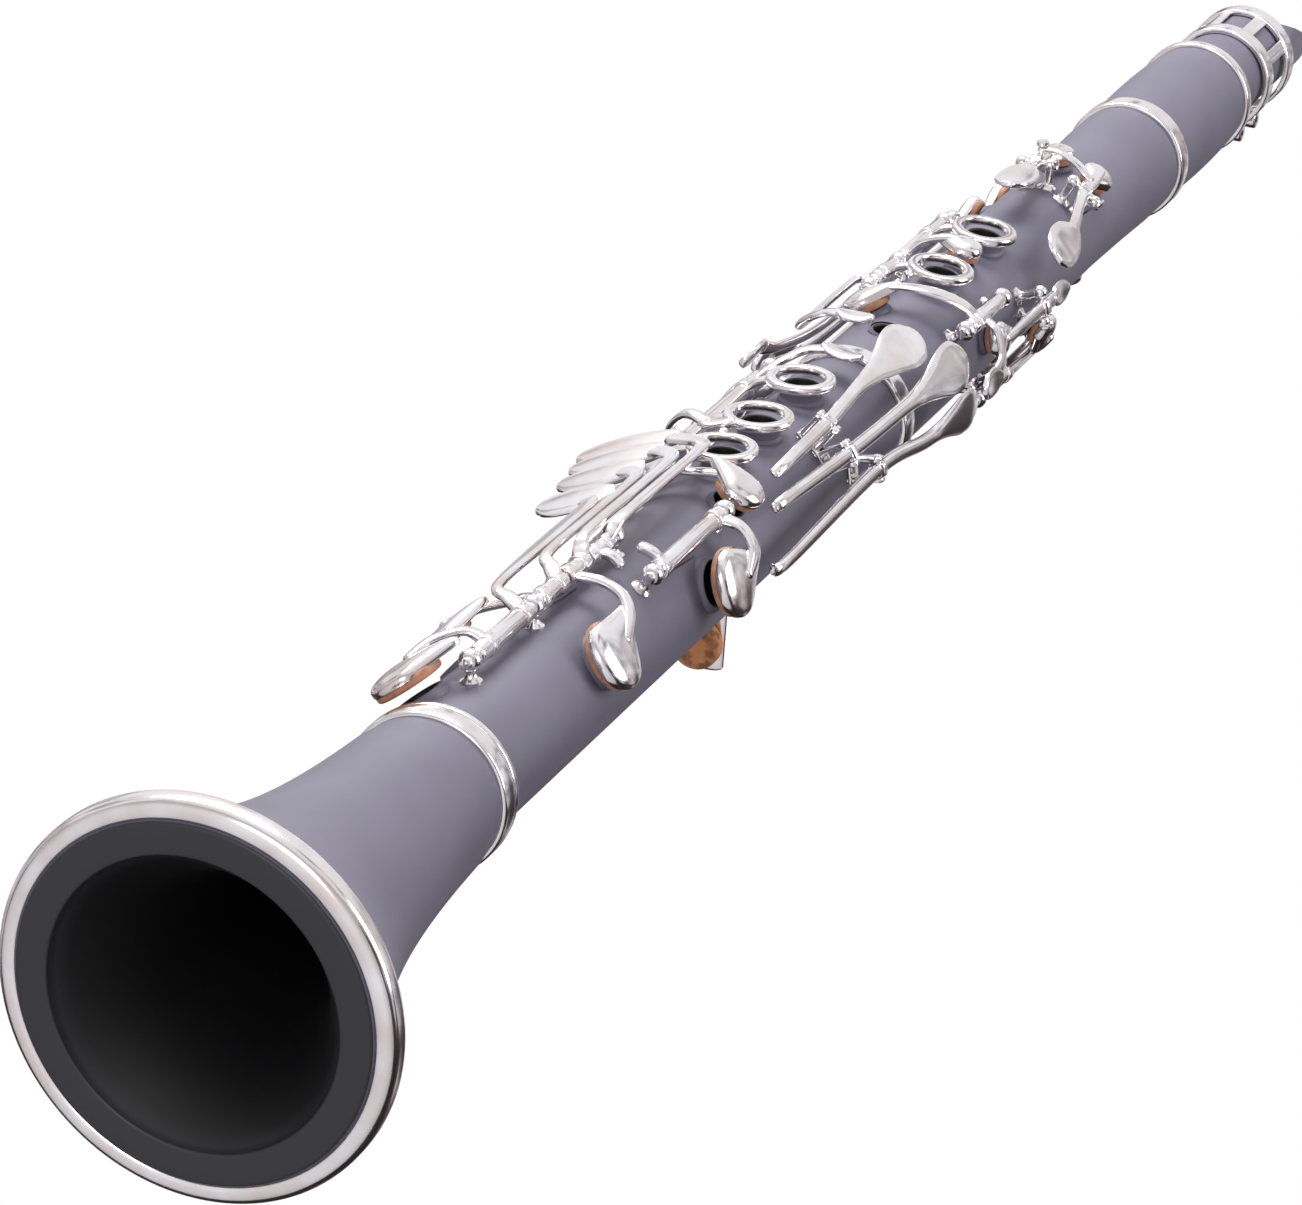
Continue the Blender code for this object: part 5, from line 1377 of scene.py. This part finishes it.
class CLARINET_OT_throat_keys(bpy.types.Operator):
    """Throat A, throat G sharp, register and left sliver keys"""
    bl_idname = "clarinet.throat_keys"
    bl_label = "Throat, register and sliver keys"

    def execute(self, context):
        body = UPPER_RADIUS
        centre = body + ROCKER_LIFT
        rocker("throat_a_key", high(0.655), -6.0, THROAT_A,
               [(0.735, -6.0, -0.4, 1.0, 0.7), (0.69, -6.0, -0.2, 1.7, 1.0), (0.655, -6.0, 0.0, 1.9, 1.3),
                (0.620, -5.0, 0.8, 2.2, 1.0), (0.595, -3.0, 1.6, 3.0, 0.8)],
               leaf(high(0.560), -2.0, centre + 2.8, 4.9, 8.4, 0.0, 0.7), 180.0)
        rocker("throat_g_sharp_key", high(0.640), 36.0, THROAT_G,
               [(0.720, 34.0, -0.4, 1.0, 0.7), (0.68, 35.0, -0.2, 1.7, 1.0), (0.640, 36.0, 0.0, 1.8, 1.3),
                (0.590, 41.0, 1.0, 1.5, 1.0), (0.545, 47.0, 1.7, 1.6, 0.9), (0.510, 52.0, 1.9, 2.4, 0.8)],
               leaf(high(0.478), 52.5, centre + 2.8, 5.3, 8.8, 6.0, 1.0), 180.0)
        rocker("register_key", high(0.610), 180.0, REGISTER,
               [(0.790, 180.0, -0.4, 1.0, 0.7), (0.75, 180.0, 0.1, 1.7, 1.0), (0.610, 180.0, 0.0, 1.9, 1.2),
                (0.55, 180.0, 1.0, 1.7, 1.0), (0.500, 180.0, 1.9, 2.4, 0.8)],
               leaf(high(0.470), 180.0, centre + 2.7, 3.8, 6.4, 0.0), 180.0)
        rocker("left_sliver_key", high(0.385), 78.0, LEFT_SLIVER,
               [(0.262, 78.0, -0.4, 1.0, 0.7), (0.30, 78.0, 0.0, 1.5, 1.0), (0.385, 78.0, 0.0, 1.8, 1.2),
                (0.425, 78.0, 0.3, 1.9, 0.9)],
               leaf(high(0.440), 78.0, centre + 1.2, 2.8, 5.4, 0.0), 0.0)
        bridge = arm([(high(0.668), 33.0, centre + 0.6), (high(0.672), 20.0, centre + 1.6),
                      (high(0.672), 6.0, centre + 2.6), (high(0.668), -5.0, centre + 2.9)], 1.5, 0.8)
        adjuster = lathe([(0.0, -1.6), (0.8, -1.6), (0.8, 0.6), (1.5, 0.7), (1.5, 1.5), (1.1, 1.9), (0.0, 2.0)],
                         24, spot(high(0.668), -4.0, centre + 3.2))
        metal("throat_adjusting_arm", [bridge, adjuster], "throat_g_sharp_key")
        ball_posts("throat_a_saddle", high(0.655), -6.0, body)
        ball_posts("throat_g_sharp_saddle", high(0.640), 36.0, body)
        ball_posts("register_saddle", high(0.610), 180.0, body)
        ball_posts("left_sliver_saddle", high(0.385), 78.0, body)
        return {"FINISHED"}


class CLARINET_OT_trill_keys(bpy.types.Operator):
    """Four long side trill keys and their saddles"""
    bl_idname = "clarinet.trill_keys"
    bl_label = "Trill keys"

    def execute(self, context):
        body = UPPER_RADIUS
        lift = 5.2
        centre = body + lift
        angles = (-64.0, -79.0, -94.0, -109.0)
        pivots = (0.375, 0.435, 0.375, 0.435)
        touches = (-0.045, 0.030, -0.045, 0.030)
        turns = (4.0, 2.0, 0.0, -2.0)
        for number, pad in enumerate(TRILLS, start=1):
            angle, share, touch, turn = (row[number - 1] for row in (angles, pivots, touches, turns))
            name = f"trill_key_{number}"
            hub = lathe([(0.95, -1.0), (1.9, -1.0), (1.9, 1.0), (0.95, 1.0)], 24,
                        sideways(high(share), angle, centre))
            top = cup_lift(body, 0.0) + 2.2
            stops = [stop(pad[0], pad[1], top, 1.0, 0.6), stop(pad[0] - 7.0, angle, centre, 1.2, 1.0),
                     stop(high(share), angle, centre, 1.3, 1.1), stop(high(0.130), angle, centre, 1.2, 1.0),
                     stop(high(touch) + 12.0, angle + turn * 0.6, centre + 2.6, 1.3, 1.0),
                     stop(high(touch) + 5.0, angle + turn, centre + 4.6, 2.0, 0.8)]
            metal("fine_" + name, [hub, cup(pad, 0.0, 180.0), bar(stops, 8, 12, 2.4),
                                   leaf(high(touch), angle + turn, centre + 5.7, 3.3, 6.6, 0.0)], name, [name])
            pad_piece(f"trill_{number}_pad_skin", pad, name)
        saddle("trill_saddle_low", ((pivots[0], angles[0]), (pivots[2], angles[2])), high, body, lift, 2.0)
        saddle("trill_saddle_high", ((pivots[1], angles[1]), (pivots[3], angles[3])), high, body, lift, 2.0)
        return {"FINISHED"}


class CLARINET_OT_small_parts(bpy.types.Operator):
    """Thumb rest with its cork, and the needle springs"""
    bl_idname = "clarinet.small_parts"
    bl_label = "Thumb rest and springs"

    def execute(self, context):
        body = LOWER_RADIUS
        height = low(0.660)
        plate = [(spot(height + rise, 180.0, body + 1.0).translation, Vector((0.0, 1.0, 0.0)), width, 0.8)
                 for rise, width in ((-13.0, 3.4), (-6.0, 4.5), (4.0, 4.5), (13.0, 3.0))]
        ledge_z = height - 9.0
        ledge = [stop(ledge_z, 180.0, body + rise, 5.3, 1.0) for rise in (1.0, 8.0, 15.0)]
        ledge = [(place, Vector((0.0, 0.0, 1.0)), width, thick) for place, up, width, thick in ledge]
        pieces = [bar(plate, 6, 18, 4.0), bar(ledge, 5, 18, 4.0, cap=1.2)]
        for rise in (-3.0, 9.0):
            head = lathe([(0.0, -0.5), (1.8, -0.5), (1.8, 0.3), (1.3, 0.8), (0.0, 1.0)], 28,
                         spot(height + rise, 180.0, body + 2.0))
            slot = block(spot(height + rise, 180.0, body + 3.0), (4.0, 0.5, 0.8), 0.05)
            pieces.append(cut(head, slot))
        metal("fine_thumb_rest", pieces, "body", ["thumb_rest"])
        cork_pad = lathe(drum(5.6, 1.6, 0.5, 4), 48, moved(0.0, body + 9.3, ledge_z - 2.9))
        finish("fine_thumb_rest_cork", [cork_pad], "body", "natural_cork", ["thumb_rest_cork"])
        lines = (("low_e", LITTLE_FINGER_LINE, LOWER_RADIUS, low(0.207), low(0.130), -1.0),
                 ("a_flat", LITTLE_FINGER_LINE, LOWER_RADIUS, low(0.207), low(0.275), 1.0),
                 ("f_sharp", F_SHARP_LINE, LOWER_RADIUS, low(0.355), low(0.440), 1.0),
                 ("right_ring", LOWER_RING_LINE, LOWER_RADIUS, low(0.915), low(0.800), -1.0),
                 ("right_sliver", RIGHT_SLIVER_LINE, LOWER_RADIUS, low(0.800), low(0.740), -1.0),
                 ("left_ring", UPPER_RING_LINE, UPPER_RADIUS, high(0.465), high(0.380), -1.0),
                 ("c_sharp", C_SHARP_LINE, UPPER_RADIUS, high(0.296), high(0.225), 1.0),
                 ("thumb", THUMB_LINE, UPPER_RADIUS, high(0.290), high(0.350), -1.0))
        for name, angle, radius_out, first, last, side in lines:
            spring(name + "_spring", angle, radius_out, first, last, side)
        return {"FINISHED"}


# ---------------------------------------------------------------- panel and run
class CLARINET_PT_panel(bpy.types.Panel):
    """Buttons for every group of pieces"""
    bl_idname = "CLARINET_PT_panel"
    bl_label = "Clarinet"
    bl_space_type = "VIEW_3D"
    bl_region_type = "UI"
    bl_category = "Clarinet"

    def draw(self, context):
        for operator in OPERATORS:
            self.layout.operator(operator.bl_idname)
        for group in (sizes(), colours()):
            for name in group.__annotations__:
                self.layout.prop(group, name)


OPERATORS = (
    CLARINET_OT_stage, CLARINET_OT_bell, CLARINET_OT_rings, CLARINET_OT_joints, CLARINET_OT_barrel,
    CLARINET_OT_mouthpiece, CLARINET_OT_ligature, CLARINET_OT_little_finger_keys, CLARINET_OT_lower_keys,
    CLARINET_OT_left_levers, CLARINET_OT_upper_rings, CLARINET_OT_throat_keys, CLARINET_OT_trill_keys,
    CLARINET_OT_small_parts)
CLASSES = (ClarinetSizes, ClarinetColours) + OPERATORS + (CLARINET_PT_panel,)


def register():
    for item in CLASSES:
        bpy.utils.register_class(item)
    bpy.types.Scene.clarinet_sizes = bpy.props.PointerProperty(type=ClarinetSizes)
    bpy.types.Scene.clarinet_colours = bpy.props.PointerProperty(type=ClarinetColours)


def unregister():
    del bpy.types.Scene.clarinet_colours
    del bpy.types.Scene.clarinet_sizes
    for item in reversed(CLASSES):
        bpy.utils.unregister_class(item)


def main():
    register()
    for material in (moulded_body, painted_bore_shade, nickel, pad_skin, cork, cane, blued_steel, paper_floor):
        material()
    for operator in OPERATORS:
        group, name = operator.bl_idname.split(".")
        getattr(getattr(bpy.ops, group), name)()


if __name__ == "__main__":
    main()
